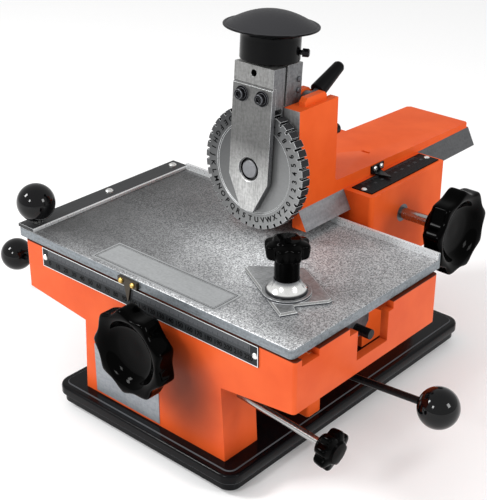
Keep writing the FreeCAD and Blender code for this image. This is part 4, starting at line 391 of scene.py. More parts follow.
# Milled and brushed steel: lines about a millimetre apart and finer along one direction, with a few darker
# specks. Stretch is the waves a metre along x, y and z; fade is an axis and (place, brightness) at either end.
def milledSteel(name, colour, dark, stretch, roughness, metallic, fade=None):
    material, tree, shader, where = startMaterial(name, colour, **{"Metallic": metallic, "Roughness": roughness})
    lines = addNode(tree, "ShaderNodeMapping", {"Vector": where, "Scale": stretch})
    scratch = addNode(tree, "ShaderNodeTexNoise", {"Vector": lines.outputs["Vector"], "Scale": 1.0, "Detail": 4.0,
                                                   "Roughness": 0.7})
    speck = addNode(tree, "ShaderNodeTexNoise", {"Vector": where, "Scale": 480.0, "Detail": 2.0})   # 2 mm specks
    both = addNode(tree, "ShaderNodeMix", {"Factor": 0.4, 2: scratch.outputs["Fac"], 3: speck.outputs["Fac"]})
    tone = addNode(tree, "ShaderNodeValToRGB", {"Fac": both.outputs[0]}, stops=[(0.33, dark), (0.6, colour)])
    shown = tone.outputs["Color"]
    if fade is not None:
        axis, (near, nearTone), (far, farTone) = fade
        along = addNode(tree, "ShaderNodeSeparateXYZ", {0: where}).outputs[axis]
        share = addNode(tree, "ShaderNodeMapRange", {"Value": along, "From Min": near, "To Min": nearTone,
                                                     "From Max": far, "To Max": farTone})
        shown = addNode(tree, "ShaderNodeVectorMath", {0: shown, 1: share.outputs["Result"]},
                        operation="MULTIPLY").outputs["Vector"]
    tree.links.new(shown, shader.inputs["Base Color"])
    addNode(tree, "ShaderNodeMapRange", {
        "Value": scratch.outputs["Fac"], "From Min": 0.3, "From Max": 0.7, "To Min": roughness - 0.07,
        "To Max": roughness + 0.1}, {"Result": shader.inputs["Roughness"]})
    addNode(tree, "ShaderNodeBump", {"Height": both.outputs[0], "Strength": 0.12, "Distance": 0.0002},
            {"Normal": shader.inputs["Normal"]})
    return material


# Turned, ground, plated or printed small parts: nearly plain, with a little variation in the polish.
def turnedMetal(name, colour, roughness, metallic=1.0, gloss=0.5):
    material, tree, shader, where = startMaterial(name, colour, **{"Metallic": metallic, "Roughness": roughness,
                                                                   "Specular IOR Level": gloss})
    spots = addNode(tree, "ShaderNodeTexNoise", {"Vector": where, "Scale": 700.0, "Detail": 2.0})   # 1.4 mm spots
    addNode(tree, "ShaderNodeMapRange", {
        "Value": spots.outputs["Fac"], "From Min": 0.3, "From Max": 0.7, "To Min": roughness * 0.8,
        "To Max": roughness * 1.25}, {"Result": shader.inputs["Roughness"]})
    addNode(tree, "ShaderNodeBump", {"Height": spots.outputs["Fac"], "Strength": 0.06, "Distance": 0.0002},
            {"Normal": shader.inputs["Normal"]})
    return material


# Moulded black plastic or rubber: from mirror-like phenolic to dull rubber, by roughness and grain.
def mouldedBlack(name, colour, roughness, coat, bumpStrength, grainScale, gloss=0.06):
    material, tree, shader, where = startMaterial(
        name, colour, **{"Roughness": roughness, "Specular IOR Level": gloss, "Coat Weight": coat,
                         "Coat Roughness": 0.04})
    grain = addNode(tree, "ShaderNodeTexNoise", {"Vector": where, "Scale": grainScale, "Detail": 3.0})
    addNode(tree, "ShaderNodeBump", {"Height": grain.outputs["Fac"], "Strength": bumpStrength, "Distance": 0.0004},
            {"Normal": shader.inputs["Normal"]})
    addNode(tree, "ShaderNodeMapRange", {
        "Value": grain.outputs["Fac"], "From Min": 0.3, "From Max": 0.7, "To Min": roughness * 0.85,
        "To Max": roughness * 1.2}, {"Result": shader.inputs["Roughness"]})
    return material


# Turned steel whose painted sheen runs in bands along a direction: painted dark where it would mirror the machine, pale
# where it would mirror the room, over 2 mm turning marks. Stops are (place along the direction in metres, colour).
def bandedSteel(name, direction, stops, metallic, roughness):
    material, tree, shader, where = startMaterial(name, stops[0][1], **{"Metallic": metallic, "Roughness": roughness})
    along = addNode(tree, "ShaderNodeVectorMath", {0: where, 1: direction}, operation="DOT_PRODUCT")
    low, high = stops[0][0], stops[-1][0]
    share = addNode(tree, "ShaderNodeMapRange", {"Value": along.outputs["Value"], "From Min": low, "From Max": high})
    tone = addNode(tree, "ShaderNodeValToRGB", {"Fac": share.outputs["Result"]},
                   stops=[((place - low) / (high - low), colour) for place, colour in stops])
    speck = addNode(tree, "ShaderNodeTexNoise", {"Vector": where, "Scale": 500.0, "Detail": 2.0})
    shade = addNode(tree, "ShaderNodeMapRange", {"Value": speck.outputs["Fac"], "To Min": 0.9, "To Max": 1.08})
    addNode(tree, "ShaderNodeVectorMath", {0: tone.outputs["Color"], 1: shade.outputs["Result"]},
            {"Vector": shader.inputs["Base Color"]}, operation="MULTIPLY")
    return material


# How the steels were worked, as waves a metre along x, y and z: 900 is a line every 1.1 mm, 45 a stroke of 22 mm.
brushed = {"upright": (900.0, 900.0, 45.0), "milledUpright": (500.0, 500.0, 70.0), "backwards": (700.0, 60.0, 700.0),
           "satin": (160.0, 60.0, 160.0), "scraped": (200.0, 45.0, 300.0), "cast": (260.0, 260.0, 260.0),
           "rolled": (50.0, 300.0, 700.0), "sheet": (90.0, 700.0, 700.0), "etched": (90.0, 700.0, 500.0)}

# Orange enamel: even with a soft broad shine, the body's a little glossier, and a painted highlight on the rounded
# edges.
orangeEnamel = castEnamel("orangeStoveEnamel", "#D5511D", "#E05D27", 0.38, 0.05)
bodyEnamel = castEnamel("orangeStoveEnamelBody", "#D2501F", "#DD5C29", 0.38, 0.16, wheelShadowPaint)
orangeEdgeHighlight = castEnamel("orangeEnamelEdgeHighlight", "#E58458", "#EE9E78", 0.35, 0.16)
bodyEdgeHighlight = castEnamel("orangeBodyEdgeHighlight", "#E58458", "#EE9E78", 0.35, 0.16, wheelShadowPaint)
blackEnamel = plinthEnamel()
tablePlate = blastedPlate(tableLightPaint)
# Brushed and milled steels: upright strokes on the head and its plate, the same on their flanks but in shade, an
# oiled bar that is nearly black, a satin clamp plate, short dark strokes where the way was scraped, dull oiled
# blocks, bright milled cheeks, a cool blue-grey rolled edge, and two soft pale plates with lines along them.
headSteel = milledSteel("brushedSteelAlongTheHead", "#8F8F8E", "#6B6B6A", brushed["upright"], 0.4, 0.7)
# The pointed plate fades along z as painted light: a painted sheen at its tip, painted shade towards its top.
plateSteel = milledSteel("brushedSteelPointedPlate", "#A6A6A5", "#7E7E7D", brushed["upright"], 0.4, 0.7,
                         ("Z", (0.18, 2.15), (0.23, 0.43)))   # bright at its tip, dark towards its top
headFlank = milledSteel("brushedSteelFlank", "#77787A", "#4B4B4D", brushed["upright"], 0.42, 0.7)
barSteel = milledSteel("darkBrushedBar", "#2C2D2F", "#1D1E20", brushed["backwards"], 0.5, 0.3)
clampSteel = milledSteel("satinClampSteel", "#9A9B9C", "#6C6D6E", brushed["satin"], 0.4, 0.6)
wayIron = milledSteel("scrapedIronWay", "#737476", "#5F6063", brushed["scraped"], 0.4, 0.6,
                      ("Y", (-0.02, 1.75), (0.1, 0.6)))   # painted sheen at the front, painted shade towards the back
darkIron = milledSteel("oiledIronBlock", "#6E6F72", "#4B4C4F", brushed["cast"], 0.4, 0.6)
faceIron = milledSteel("milledCheekFace", "#A6A6A6", "#868686", brushed["milledUpright"], 0.36, 0.6)
tableSide = milledSteel("milledPlateEdge", "#858B90", "#5E6468", brushed["rolled"], 0.42, 0.5)
bareTag = milledSteel("satinAluminiumTag", "#A9ABAC", "#97999A", brushed["sheet"], 0.42, 0.4)
greyTag = milledSteel("etchedGreyTag", "#989DA2", "#82878C", brushed["etched"], 0.42, 0.5)
# Turned steel with a painted sheen across it: the dial pale below and in painted shade above, chrome with one hard
# painted bright band.
dialSteel = bandedSteel("hardenedDialSteel", (-0.45, 0.0, 1.0), [
    (0.135, "#9E9E9D"), (0.17, "#8A8A89"), (0.21, "#5E5F60"), (0.24, "#4E4F50")], 0.6, 0.38)
discFace = bandedSteel("turnedDialWeb", (-0.5, 0.0, 1.0), [(0.13, "#9B9C9C"), (0.24, "#303133")], 0.6, 0.4)
chromePlate = bandedSteel("brightChromePlate", (0.0, 0.0, 1.0), [
    (0.154, "#303133"), (0.1558, "#3C3D3F"), (0.1566, "#F2F2F0"), (0.161, "#E6E6E4"), (0.1632, "#8E8F91"),
    (0.1645, "#6A6B6D")], 0.9, 0.16)
# Small metal parts: cut gears dull, ground shafts bright enough to mirror the room, zinc screws nearly white,
# blackened steel with a faint oily shine, dark bronze that looks brown, brass warm and satin.
# The dial's outer side is painted dark as painted shade.
dialSide = turnedMetal("dialSideInPaintedShade", "#232325", 0.34, 0.5, 0.3)
paleEdge = turnedMetal("filedEdgeAndPaintedHighlight", "#DADCDD", 0.3, 0.5)   # the bright line of a filed edge on the rounds, partly a painted highlight; a painted highlight on the table's back wall and the stop bar's side
gearSteel = turnedMetal("cutGearSteel", "#8C8D90", 0.34)
brightSteel = turnedMetal("groundBrightSteel", "#A5A5A4", 0.22)
zincScrew = turnedMetal("brightZincScrew", "#DCDCDA", 0.24, 0.8)
blackOxide = turnedMetal("blackenedSteel", "#111113", 0.3, 0.4, 0.2)
holeBlack = turnedMetal("holeShadeAndWasherBlack", "#070708", 0.5, 0.0, 0.05)   # painted shade in holes and slots, and the black of the washers
bushSteel = turnedMetal("turnedBushSteel", "#55565A", 0.34, 0.7)
bronzePlate = turnedMetal("darkBronze", "#3A3226", 0.34, 0.6)
brassPlate = turnedMetal("satinBrass", "#C9A75C", 0.28, 0.8)
# Moulded knobs and rubber: black glass in the wheels, softer on the hat's neck, dull on the grip; the grain goes
# from 11 mm waves in the polish to 1.1 mm in the rubber.
phenolicGloss = mouldedBlack("polishedPhenolic", "#010101", 0.06, 0.0, 0.01, 90.0, 0.03)
ballGloss = mouldedBlack("polishedBallPhenolic", "#050506", 0.05, 0.1, 0.01, 90.0, 0.2)
phenolicSatin = mouldedBlack("satinPhenolic", "#040405", 0.2, 0.05, 0.02, 200.0)
hatSatin = mouldedBlack("satinHatTop", "#343436", 0.42, 0.0, 0.04, 700.0)   # the dome grey, lighter than the black neck
gripRubber = mouldedBlack("mouldedRubber", "#0E0E0F", 0.34, 0.0, 0.02, 900.0)
# Printed strips: matt, from black through grey to the bare pale edge.
rulerBlack = turnedMetal("blackPrintedStrip", "#0C0C0E", 0.4, 0.0, 0.05)
rulerDark = turnedMetal("darkPrintedBand", "#26282A", 0.5, 0.0, 0.1)
# The grey band's colour also gives the base's rounds a painted highlight.
greyPrintAndEdgeHighlight = turnedMetal("greyPrintAndBaseEdgeHighlight", "#4C4E51", 0.5, 0.0, 0.1)
rulerPale = turnedMetal("bareRulerEdge", "#D9DBDC", 0.4, 0.3)
printBlack = turnedMetal("blackPrint", "#060607", 0.5, 0.0, 0.05)
print("materials made")

headTurn = shiftBy(0, 122.35, 207.2) @ turnX(-4.05)   # the head's own frame, leaned back
headBack = headTurn.inverted()

# castings and plates: softened copies of the solids; on the orange castings and the base the rounds take a painted
# highlight
soft = {}
for name, node, material, width, edge in (
        ("glossBase", "base_plate", blackEnamel, 0.7, greyPrintAndEdgeHighlight),
        ("bodyCasting", "body_casting", bodyEnamel, 0.8, bodyEdgeHighlight),
        ("ramCasting", "ram_casting", orangeEnamel, 0.7, orangeEdgeHighlight),
        ("releasePosts", "release_posts", orangeEnamel, 0.5, orangeEdgeHighlight),
        ("releaseStand", "release_stand", orangeEnamel, 0.6, orangeEdgeHighlight),
        ("workTable", "work_table", tablePlate, 0.6, paleEdge),
        ("stopBar", "stop_bar", barSteel, 0.3, paleEdge),
        ("clampPlate", "clamp_plate", clampSteel, 0.3, paleEdge),
        ("headBlock", "head_block", headSteel, 0.4, paleEdge),
        ("frontPlate", "front_plate", plateSteel, 0.4, paleEdge),
        ("tableHangers", "table_hangers", darkIron, 0.4, wayIron),
        ("guideBlocks", "guide_blocks", darkIron, 0.4, wayIron),
        ("characterDial", "character_dial", dialSteel, 0.15, paleEdge),
        ("capScrews", "plate_screws", blackOxide, 0.3, bushSteel)):
    soft[name] = softCopy(name, node, material, width, edge)

# Faces with a finish of their own: each test takes the middles and normals of a piece's faces.
square, slanting = 0.9, 0.5   # a normal's share along an axis: nearly all of it, more than half
ramMarks = {"shoulder": 173.0, "toe": 141.0, "sole": 157.5, "lean": 0.2, "cheek": 139.2}


# The slanted flanks and the underside of the ram's dovetail.
def isDovetail(centre, normal):
    low = (centre[:, 2] < ramMarks["shoulder"]) & (centre[:, 1] > ramMarks["toe"])
    flank = (np.abs(normal[:, 0]) > slanting) & (np.abs(normal[:, 2]) > ramMarks["lean"])
    under = (normal[:, 2] < -square) & (centre[:, 2] < ramMarks["sole"])
    return low & (flank | under)


# The two machined front faces of the tower beside the head.
def isCheekFace(centre, normal):
    return (normal[:, 1] < -square) & (centre[:, 1] < ramMarks["cheek"]) & (centre[:, 2] > ramMarks["shoulder"])


boxMarks = {"low": 156.0, "top": 173.0, "half": 44.0, "outside": 44.5, "wayFront": 199.0, "front": 199.5}


# The faces of the dovetail way in the box.
def isWay(centre, normal):
    inside = (centre[:, 2] > boxMarks["low"]) & (centre[:, 2] < boxMarks["top"])
    inside &= (np.abs(centre[:, 0]) < boxMarks["half"]) & (centre[:, 1] > boxMarks["wayFront"])
    return inside & (np.abs(normal[:, 1]) < slanting)


# The box behind the table, which takes the plain enamel, without the front's painted shadow and shade.
def isRearBox(centre, normal):
    outside = (centre[:, 2] > boxMarks["top"]) | (np.abs(centre[:, 0]) > boxMarks["outside"])
    return (centre[:, 1] > boxMarks["front"]) & (outside | (np.abs(normal[:, 1]) > square))


tableMarks = {"top": 149.3, "rimLow": 149.2, "rimFront": 181.0, "barSide": 0.7}


# The upright edges of the table plate.
def isTableSide(centre, normal):
    return (np.abs(normal[:, 2]) < slanting) & (centre[:, 2] < tableMarks["top"])


# The low wall along the table's back, and the stop bar's side that faces the work: both take a painted highlight.
def isRimFace(centre, normal):
    wall = (centre[:, 1] > tableMarks["rimFront"]) & (centre[:, 2] > tableMarks["rimLow"])
    return wall & (normal[:, 1] < slanting)


def isBarSide(centre, normal):
    return normal[:, 0] > tableMarks["barSide"]


clampMarks = {"side": 0.3, "bevelFrom": 0.4, "bevelTo": 0.95}


# The clamp plate's cut edge, painted dark as painted shade, and its bevel round the top.
def isClampSide(centre, normal):
    return np.abs(normal[:, 2]) < clampMarks["side"]


def isClampBevel(centre, normal):
    return (normal[:, 2] > clampMarks["bevelFrom"]) & (normal[:, 2] < clampMarks["bevelTo"])


headMarks = {"flank": 0.6, "bore": (0, 9.5), "blindHole": (80.0, 3.1), "inward": 0.3, "washer": -6.7}


# Faces of the head and of its plate that look to either side.
def isHeadFlank(centre, normal):
    return np.abs(normal[:, 0]) > headMarks["flank"]


# Middles and normals of faces in a leaned frame, by the matrix that leads back to it.
def seenFrom(back, centre, normal):
    return moved(centre, back), normal @ np.array(back.to_3x3()).T


# Faces of a round hole at a height in the head: they lie within reach of its axis and look at it.
def inHole(centre, normal, height, reach):
    local, aim = seenFrom(headBack, centre, normal)
    away = np.stack([local[:, 0], local[:, 2] - height], axis=1)
    inward = aim[:, 0] * away[:, 0] + aim[:, 2] * away[:, 1]
    return (np.linalg.norm(away, axis=1) < reach) & (inward < -headMarks["inward"])


def isPlateBore(centre, normal):
    return inHole(centre, normal, *headMarks["bore"])


def isBlindHole(centre, normal):
    return inHole(centre, normal, *headMarks["blindHole"])


# The washers under the cap screws.
def isWasher(centre, normal):
    return moved(centre, headBack)[:, 1] > headMarks["washer"]


dialMarks = {"side": 51.0, "slot": 48.0, "web": 38.5}


# Dial faces by radius from its axis: the outer side, the walls of the slots and the web inside the rim.
def dialView(centre, normal):
    local, aim = seenFrom(headBack, centre, normal)
    return np.hypot(local[:, 0], local[:, 2]), aim[:, 1]


def isDialSide(centre, normal):
    r, along = dialView(centre, normal)
    return (r > dialMarks["side"]) & (np.abs(along) < slanting)


def isDialSlot(centre, normal):
    r, along = dialView(centre, normal)
    return (r > dialMarks["slot"]) & (r <= dialMarks["side"]) & (np.abs(along) < slanting)


def isDialWeb(centre, normal):
    r, along = dialView(centre, normal)
    return (r < dialMarks["web"]) & (along < -slanting)


for name, material, test in (
        ("ramCasting", wayIron, isDovetail), ("ramCasting", faceIron, isCheekFace),
        ("bodyCasting", orangeEnamel, isRearBox), ("bodyCasting", wayIron, isWay),
        ("workTable", tableSide, isTableSide), ("workTable", paleEdge, isRimFace), ("stopBar", paleEdge, isBarSide),
        ("clampPlate", bushSteel, isClampSide), ("clampPlate", brightSteel, isClampBevel),
        ("headBlock", headFlank, isHeadFlank), ("headBlock", holeBlack, isBlindHole),
        ("frontPlate", headFlank, isHeadFlank), ("frontPlate", holeBlack, isPlateBore),
        ("capScrews", holeBlack, isWasher), ("characterDial", dialSide, isDialSide),
        ("characterDial", holeBlack, isDialSlot), ("characterDial", discFace, isDialWeb)):
    paintFaces(soft[name], material, test)
print("castings softened")

# solids that keep their shape
for node, material in {
        "base_feet": gripRubber, "shaft_bushes": bushSteel, "slide_strips": brassPlate, "front_ruler": rulerDark,
        "back_ruler": rulerBlack, "ruler_rivets": zincScrew, "pedestal_tag": greyTag, "table_tag": bareTag,
        "release_pin": brightSteel, "stop_bar_screws": zincScrew, "table_pointer": bronzePlate,
        "table_pointer_screws": brassPlate, "table_rack": gearSteel, "table_rod": blackOxide,
        "carriage_stud": brightSteel, "clamp_stud": brightSteel, "clamp_ferrule": chromePlate,
        "front_shaft": brightSteel, "side_shaft": brightSteel, "front_gear": gearSteel, "side_pinion": gearSteel,
        "ram_rack": gearSteel, "ram_pointer": blackOxide, "ram_pointer_screws": zincScrew, "head_pin": brightSteel,
        "lock_screw": blackOxide, "head_screws": bushSteel, "dial_axle": gearSteel, "dial_gear": gearSteel,
        "spindle_gear": gearSteel, "hat_spindle": brightSteel, "hat_screw": blackOxide, "press_lever": darkIron,
        "cam_shaft": brightSteel, "spacing_rod": brightSteel, "release_rod": blackOxide,
        "release_hub": darkIron}.items():
    dressNode(node, material)
print("solids dressed")

# Turned pieces: every profile is a list of corners (radius, height, rounding), from foot to top.
pole = 0.3   # the radius at which a turned surface closes on its axis

# handwheels: thick lobed rim, dished face with a flat middle, collar behind
wheelSizes = {"radius": 38.0, "thick": 18.0, "lobes": 9, "bite": 4.2, "rimIn": 28.0, "dish": 10.0, "hub": 9.5,
              "collar": 15.5, "frontCollarLong": 13.5, "sideCollarLong": 12.0, "around": 216}


# Profile turned about z; the radius outside the dish is pulled in by bite * (1/2 + 1/2 cos(lobes * t)) ** 0.7,
# fading to nothing at the dish.
def lobedWheel(collarLong):
    s = wheelSizes
    face = collarLong + s["thick"]
    profile = roundedProfile([
        (pole, 0, 0), (s["collar"], 0, 2), (s["collar"], collarLong, 1.5), (s["radius"], collarLong, 5),
        (s["radius"], collarLong + s["thick"] / 2, 6), (s["radius"], face, 7), (s["rimIn"], face, 5),
        (s["rimIn"] - 6, face - s["dish"] * 0.85, 6), (s["hub"], face - s["dish"], 4),
        (pole, face - s["dish"], 0)], 8)

    def scallop(r, t):
        outside = np.clip((r - s["rimIn"] - 2) / (s["radius"] - s["rimIn"] - 2), 0, 1)
        return r - outside * s["bite"] * (0.5 + 0.5 * np.cos(s["lobes"] * t)) ** 0.7

    return closedRings(turnedRings(profile, s["around"], scallop))


# star grips: the clamp's, and the small one on the spacing rod that points down by 5.1 degrees
clampStar = {"radius": 17.6, "high": 14.0, "neck": 9.6, "neckHigh": 18.5, "lobes": 8, "bite": 2.8, "cap": 11.0,
             "around": 160}
spacingStar = {"radius": 16.0, "high": 13.0, "neck": 8.5, "neckHigh": 4.0, "lobes": 8, "bite": 3.4, "cap": 9.5,
               "around": 160}
spacingTurn = shiftBy(166.9, 20, 65.5) @ turnY(90 + 5.1) @ shiftBy(0, 0, -10.5)


# Profile turned about z; outside the cap the radius loses bite * |cos(lobes * t / 2)| ** 3.
def starGrip(s):
    top = s["neckHigh"] + s["high"]
    profile = roundedProfile([
        (pole, 0, 0), (s["neck"], 0, 1.5), (s["neck"], s["neckHigh"], 1.2), (s["radius"] - 1, s["neckHigh"], 2.2),
        (s["radius"], s["neckHigh"] + 6, 3), (s["radius"], top - 3.2, 2.6), (s["cap"], top - 1.6, 1),
        (s["cap"] - 0.8, top, 0.8), (pole, top + 0.6, 0)], 6)

    def scallop(r, t):
        outside = np.clip((r - s["cap"]) / (s["radius"] - s["cap"]), 0, 1)
        return r - outside * s["bite"] * np.abs(np.cos(s["lobes"] * t / 2)) ** 3

    return closedRings(turnedRings(profile, s["around"], scallop))


# Each knob's surface, its place in the layout, its body and the solid it stands for.
for name, surface, matrix, body, node in (
        ("frontHandwheel", lobedWheel(wheelSizes["frontCollarLong"]), shiftBy(10, -3, 105.5) @ turnX(90),
         "front_wheel", "front_handwheel"),
        ("sideHandwheel", lobedWheel(wheelSizes["sideCollarLong"]), shiftBy(97, 247, 144) @ turnY(90),
         "side_wheel", "side_handwheel"),
        ("clampKnob", starGrip(clampStar), shiftBy(90.5, 58, 164.5), "clamp_grip", "clamp_knob"),
        ("spacingKnob", starGrip(spacingStar), spacingTurn, "spacing", "spacing_knob")):
    addPiece(name, surface, phenolicGloss, body, matrix, stands=(node,), crease=50, slot="black_knobs")

# ball knobs: one on the carriage, two on the release rod, which lies 4.8 degrees out of level
ballSizes = {"radius": 16.3, "flat": 67.0, "top": 89.2, "rings": 44, "around": 72}
carriagePlace = shiftBy(-145, 12.5, 170)
releaseTurn = shiftBy(0, 96.5, 53.3) @ turnY(-4.8)
rodEnds = (shiftBy(208, 0, 10) @ turnY(90), shiftBy(-294.5, 0, 10) @ turnY(-90))


# A sphere from its flat (latitude -flat) to its top, with a small round at the flat's edge.
def ballSurface():
    s = ballSizes
    lat = np.radians(np.linspace(-s["flat"], s["top"], s["rings"]))
    profile = np.stack([s["radius"] * np.cos(lat), s["radius"] * np.sin(lat)], axis=1)
    rim = np.array([[pole, profile[0, 1]], [profile[0, 0] - 0.5, profile[0, 1]]])
    return closedRings(turnedRings(np.concatenate([rim, profile]), s["around"]))


ball, ballFaces = ballSurface()
ballPair = gathered([(moved(ball, releaseTurn @ end), ballFaces) for end in rodEnds])
addPiece("carriageBall", (ball, ballFaces), ballGloss, "table", carriagePlace, stands=("carriage_ball",),
         slot="black_knobs")
addPiece("releaseBalls", ballPair, ballGloss, "release", stands=("release_balls",), slot="black_knobs")

# hat knob, on an axis 13.6 mm behind the dial's
hatSizes = {"radius": 38.5, "neck": 24.3, "low": 88.9, "rimZ": 115.0, "rim": 2.6, "lip": 2.6, "dome": 11.0,
            "around": 128, "topFrom": 115.7}
hatTurn = headTurn @ shiftBy(0, 13.6, 0)
hatBack = hatTurn.inverted()


# Neck, quarter-round flare under the brim, thin lip and a low dome: height = dome * (1 - (r / radius) ** 2).
def hatSurface():
    s = hatSizes
    lowRim, topRim = s["rimZ"] - s["rim"] / 2, s["rimZ"] + s["rim"] / 2
    under = roundedProfile([
        (pole, s["low"], 0), (s["neck"], s["low"], 1), (s["neck"], lowRim - 1.5, 7), (s["radius"] - 3, lowRim, 1),
        (s["radius"], lowRim + 0.7, 0.8), (s["radius"], topRim - 0.4, 0.8), (s["radius"] - 1.6, topRim, 0.5),
        (s["radius"] - 2.2, topRim - 0.5, 0.3)], 8)[:-1]
    r = np.linspace(s["radius"] - s["lip"], pole, 22)
    bulge = 1 - (r / (s["radius"] - s["lip"])) ** 2
    dome = np.stack([r, topRim - 0.4 + (s["dome"] + 0.4) * bulge], axis=1)
    return closedRings(turnedRings(np.concatenate([under, dome]), s["around"]))


# The dome inside the lip.
def isHatTop(centre, normal):
    local, aim = seenFrom(hatBack, centre, normal)
    return (local[:, 2] > hatSizes["topFrom"]) & (aim[:, 2] > slanting)


hat = addPiece("hatKnob", hatSurface(), phenolicSatin, "hat", hatTurn, stands=("hat_knob",), crease=40,
               slot="hat_grey")
paintFaces(hat, hatSatin, isHatTop)

# lever grip, raised 27 degrees at rest
gripSizes = {"start": 10.8, "end": 44.5, "radius": 6.9, "tip": 5.0, "around": 56}
leverTurn = shiftBy(0, 170, 257.5) @ turnX(27) @ shiftBy(19.3, 0, 0) @ turnX(-90)


# A smooth taper: radius = from radius at its foot to tip at its end, with a small cone and round at the tip.
def gripSurface():
    s = gripSizes
    profile = roundedProfile([
        (pole, s["start"], 0), (s["radius"], s["start"], 0.8), (s["tip"], s["end"] - 2.2, 0.8),
        (s["tip"] - 1.6, s["end"], 0.6), (pole, s["end"], 0)], 6)
    return closedRings(turnedRings(profile, s["around"]))


addPiece("leverGrip", gripSurface(), gripRubber, "lever", leverTurn, stands=("lever_grip",), crease=40,
         slot="black_rubber")
print("turned pieces made")


# printed and raised characters

# A word laid flat and centred: the font's outline, made bolder by weight and as thick as given.
def letterMesh(text, size, thick, weight):
    curve = bpy.data.curves.new("letter", "FONT")
    curve.body = text
    curve.size = size
    curve.extrude = thick / 2
    curve.align_x = "CENTER"
    curve.align_y = "CENTER"
    curve.resolution_u = 3
    curve.offset = weight
    holder = addObject("letter", curve)
    bpy.context.view_layer.update()
    mesh = bpy.data.meshes.new_from_object(holder)
    work = bmesh.new()
    work.from_mesh(mesh)
    bmesh.ops.remove_doubles(work, verts=work.verts, dist=1e-4)
    bmesh.ops.recalc_face_normals(work, faces=work.faces)
    points = np.array([v.co[:] for v in work.verts])
    faces = [[v.index for v in f.verts] for f in work.faces]
    work.free()
    bpy.data.objects.remove(holder)
    bpy.data.curves.remove(curve)
    bpy.data.meshes.remove(mesh)
    return points, faces


dialSizes = {"signs": "ABCDEFGHIJKLMNOPQRSTUVWXYZ0123456789-./&", "ring": 44.0, "height": 6.4, "raise": 0.25,
             "sunk": 0.1, "weight": 0.1, "first": 99.0}


# Sign number n of the dial stands at the angle first + n * 360 / (number of signs), on a ring round its axis.
def dialSurface():
    s = dialSizes
    onFace = shiftBy(s["ring"], 0, (s["raise"] - s["sunk"]) / 2) @ turnZ(90)
    surfaces = []
    for number, sign in enumerate(s["signs"]):
        points, faces = letterMesh(sign, s["height"], s["raise"] + s["sunk"], s["weight"])
        turn = headTurn @ turnX(90) @ turnZ(s["first"] + number * 360.0 / len(s["signs"])) @ onFace
        surfaces.append((moved(points, turn), faces))
    return gathered(surfaces)


addPiece("dialCharacters", dialSurface(), printBlack, "dial", slot="dial_steel")

# front ruler: grey graduated band above, dark numbered band below, pale edge all round
rulerSizes = {"left": -124.5, "right": 113.5, "low": 122.8, "high": 140.0, "edge": 0.6, "split": 131.6, "face": -1.0,
              "bandInset": 7.5, "bandGap": 0.4, "firstMark": 9.0, "sunk": 0.05, "borderProud": 0.06, "bandProud": 0.04}
frontScale = {"count": 220, "half": 0.14, "line": rulerSizes["split"], "grow": 1, "lengths": (5.2, 4.2, 2.8),
              "sunk": 0.05, "proud": 0.07, "wordLine": 127.8, "wordHeight": 5.6, "wordThick": 0.1, "weight": 0.12,
              "wordLift": 0.03}
# back ruler: marks along the edge nearest the ram, numbers beside them, from y = start on the face at z = top
backScale = {"count": 80, "half": 0.12, "line": -39.8, "grow": -1, "lengths": (5.0, 4.0, 2.6), "sunk": 0.05,
             "proud": 0.05, "wordLine": -48.6, "wordHeight": 3.4, "wordThick": 0.1, "weight": 0.0, "wordLift": 0.01,
             "start": 217.0, "top": 174.2}
# double border line on the blank plate of the table: corners, top, then (inset, width) of either line
tagSizes = {"left": -68.0, "right": 66.0, "front": 4.0, "back": 35.0, "top": 149.5, "lines": ((1.8, 0.5), (3.2, 0.25)),
            "sunk": 0.05, "proud": 0.04}


# A millimetre scale along x with y across it: marks at 0, 1, 2 ... that grow from a line, their lengths those of
# tens, fives and ones, and a number at every ten.
def addScale(prefix, s, material, matrix):
    place = np.arange(s["count"] + 1)
    long = np.select([place % 10 == 0, place % 5 == 0], s["lengths"][:2], s["lengths"][2])
    ends = np.sort(np.stack([np.full(len(place), s["line"]), s["line"] + s["grow"] * long]), axis=0)
    low = np.stack([place - s["half"], ends[0], np.full(len(place), -s["sunk"])], axis=1)
    high = np.stack([place + s["half"], ends[1], np.full(len(place), s["proud"])], axis=1)
    addPiece(prefix + "Ticks", boxSurface(low, high), material, "stand", matrix, slot="ruler_black")
    numbers = []
    for ten in range(0, s["count"] + 1, 10):
        points, faces = letterMesh(str(ten), s["wordHeight"], s["wordThick"], s["weight"])
        numbers.append((moved(points, shiftBy(ten, s["wordLine"], s["wordLift"])), faces))
    addPiece(prefix + "Numbers", gathered(numbers), material, "stand", matrix, slot="ruler_black")


# The drawing on the rulers and on the table's plate: strips flat in x and y, then carried to the face.
def addPrints():
    s = rulerSizes
    rulerFace = shiftBy(0, s["face"], 0) @ turnX(90)
    border = outlineSurface(s["left"], s["right"], s["low"], s["high"], s["edge"], -s["sunk"], s["borderProud"])
    addPiece("rulerBorder", border, rulerPale, "stand", rulerFace, slot="ruler_black")
    band = boxSurface((s["left"] + s["bandInset"], s["split"], -s["sunk"]),
                      (s["right"] - s["bandInset"], s["high"] - s["edge"] - s["bandGap"], s["bandProud"]))
    addPiece("rulerBand", band, greyPrintAndEdgeHighlight, "stand", rulerFace, slot="ruler_black")
    addScale("ruler", frontScale, printBlack, shiftBy(s["left"] + s["firstMark"], 0, 0) @ rulerFace)
    addScale("backRuler", backScale, greyPrintAndEdgeHighlight, shiftBy(0, backScale["start"], backScale["top"]) @ turnZ(90))
    s = tagSizes
    lines = [outlineSurface(s["left"] + inset, s["right"] - inset, s["front"] + inset, s["back"] - inset, wide,
                            s["top"] - s["sunk"], s["top"] + s["proud"]) for inset, wide in s["lines"]]
    addPiece("tableTagLines", gathered(lines), printBlack, "table", slot="blank_plate")


addPrints()
print("scales and characters made")

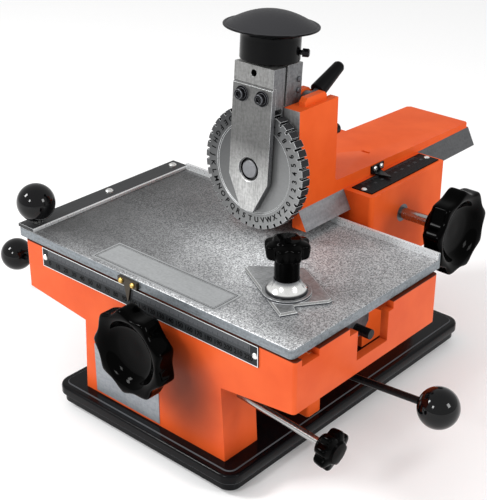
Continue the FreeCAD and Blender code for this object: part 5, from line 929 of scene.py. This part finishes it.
# floor, light and camera: the floor in metres, the lamps as (place, what they look at, watts, width, height)
stageSizes = {"half": 4.0, "floorColour": "#FFFFFF", "world": 0.75}
lamps = {"keyBox": ((-0.85, -1.1, 1.25), (0, 0, 0.12), 15, 0.3, 0.45),
         "frontBox": ((0.15, -1.6, 1.0), (0, 0, 0.12), 8, 0.26, 0.36),
         "sideBox": ((1.5, 0.1, 0.9), (0.05, 0, 0.12), 9, 0.4, 0.5)}
# the camera in the layout, its direction in degrees, its focal length and the picture's width in pixels
cameraSizes = {"place": (573.3, -532.7, 574.1), "azimuth": 41.69, "elevation": 26.9, "focal": 1160.25,
               "pictureWide": 487.0, "sensor": 36.0}

h = stageSizes["half"]
floorMesh = bpy.data.meshes.new("floor")
floorMesh.from_pydata([(-h, -h, 0), (h, -h, 0), (h, h, 0), (-h, h, 0)], [], [(0, 1, 2, 3)])
floorMesh.materials.append(startMaterial("paleFloor", stageSizes["floorColour"],
                                         **{"Roughness": 0.9, "Specular IOR Level": 0.1})[0])
addObject("floor", floorMesh)

world = bpy.data.worlds.new("studio")
bpy.context.scene.world = world
world.use_nodes = True
world.node_tree.nodes.clear()
sky = addNode(world.node_tree, "ShaderNodeBackground", {"Color": (1, 1, 1, 1), "Strength": stageSizes["world"]})
addNode(world.node_tree, "ShaderNodeOutputWorld", {"Surface": sky.outputs[0]})

for name, (place, target, power, width, height) in lamps.items():
    data = bpy.data.lights.new(name, "AREA")
    data.shape = "RECTANGLE"
    data.size, data.size_y = width, height
    data.energy = power
    lamp = addObject(name, data)
    lamp.location = place
    lamp.rotation_euler = (Vector(target) - Vector(place)).to_track_quat("-Z", "Y").to_euler()

camera = bpy.data.cameras.new("photoCamera")
camera.sensor_fit = "HORIZONTAL"
camera.sensor_width = cameraSizes["sensor"]
camera.lens = cameraSizes["focal"] * cameraSizes["sensor"] / cameraSizes["pictureWide"]
camera.clip_start = 0.01
camera.clip_end = 50
eye = addObject("photoCamera", camera)
eye.location = tuple((np.array(cameraSizes["place"]) + layoutShift) / millis)
azimuth, elevation = math.radians(cameraSizes["azimuth"]), math.radians(cameraSizes["elevation"])
look = Vector((-math.sin(azimuth) * math.cos(elevation), math.cos(azimuth) * math.cos(elevation), -math.sin(elevation)))
eye.rotation_euler = look.to_track_quat("-Z", "Y").to_euler()
bpy.context.scene.camera = eye
bpy.context.scene.view_settings.view_transform = "Standard"
print("stage set")
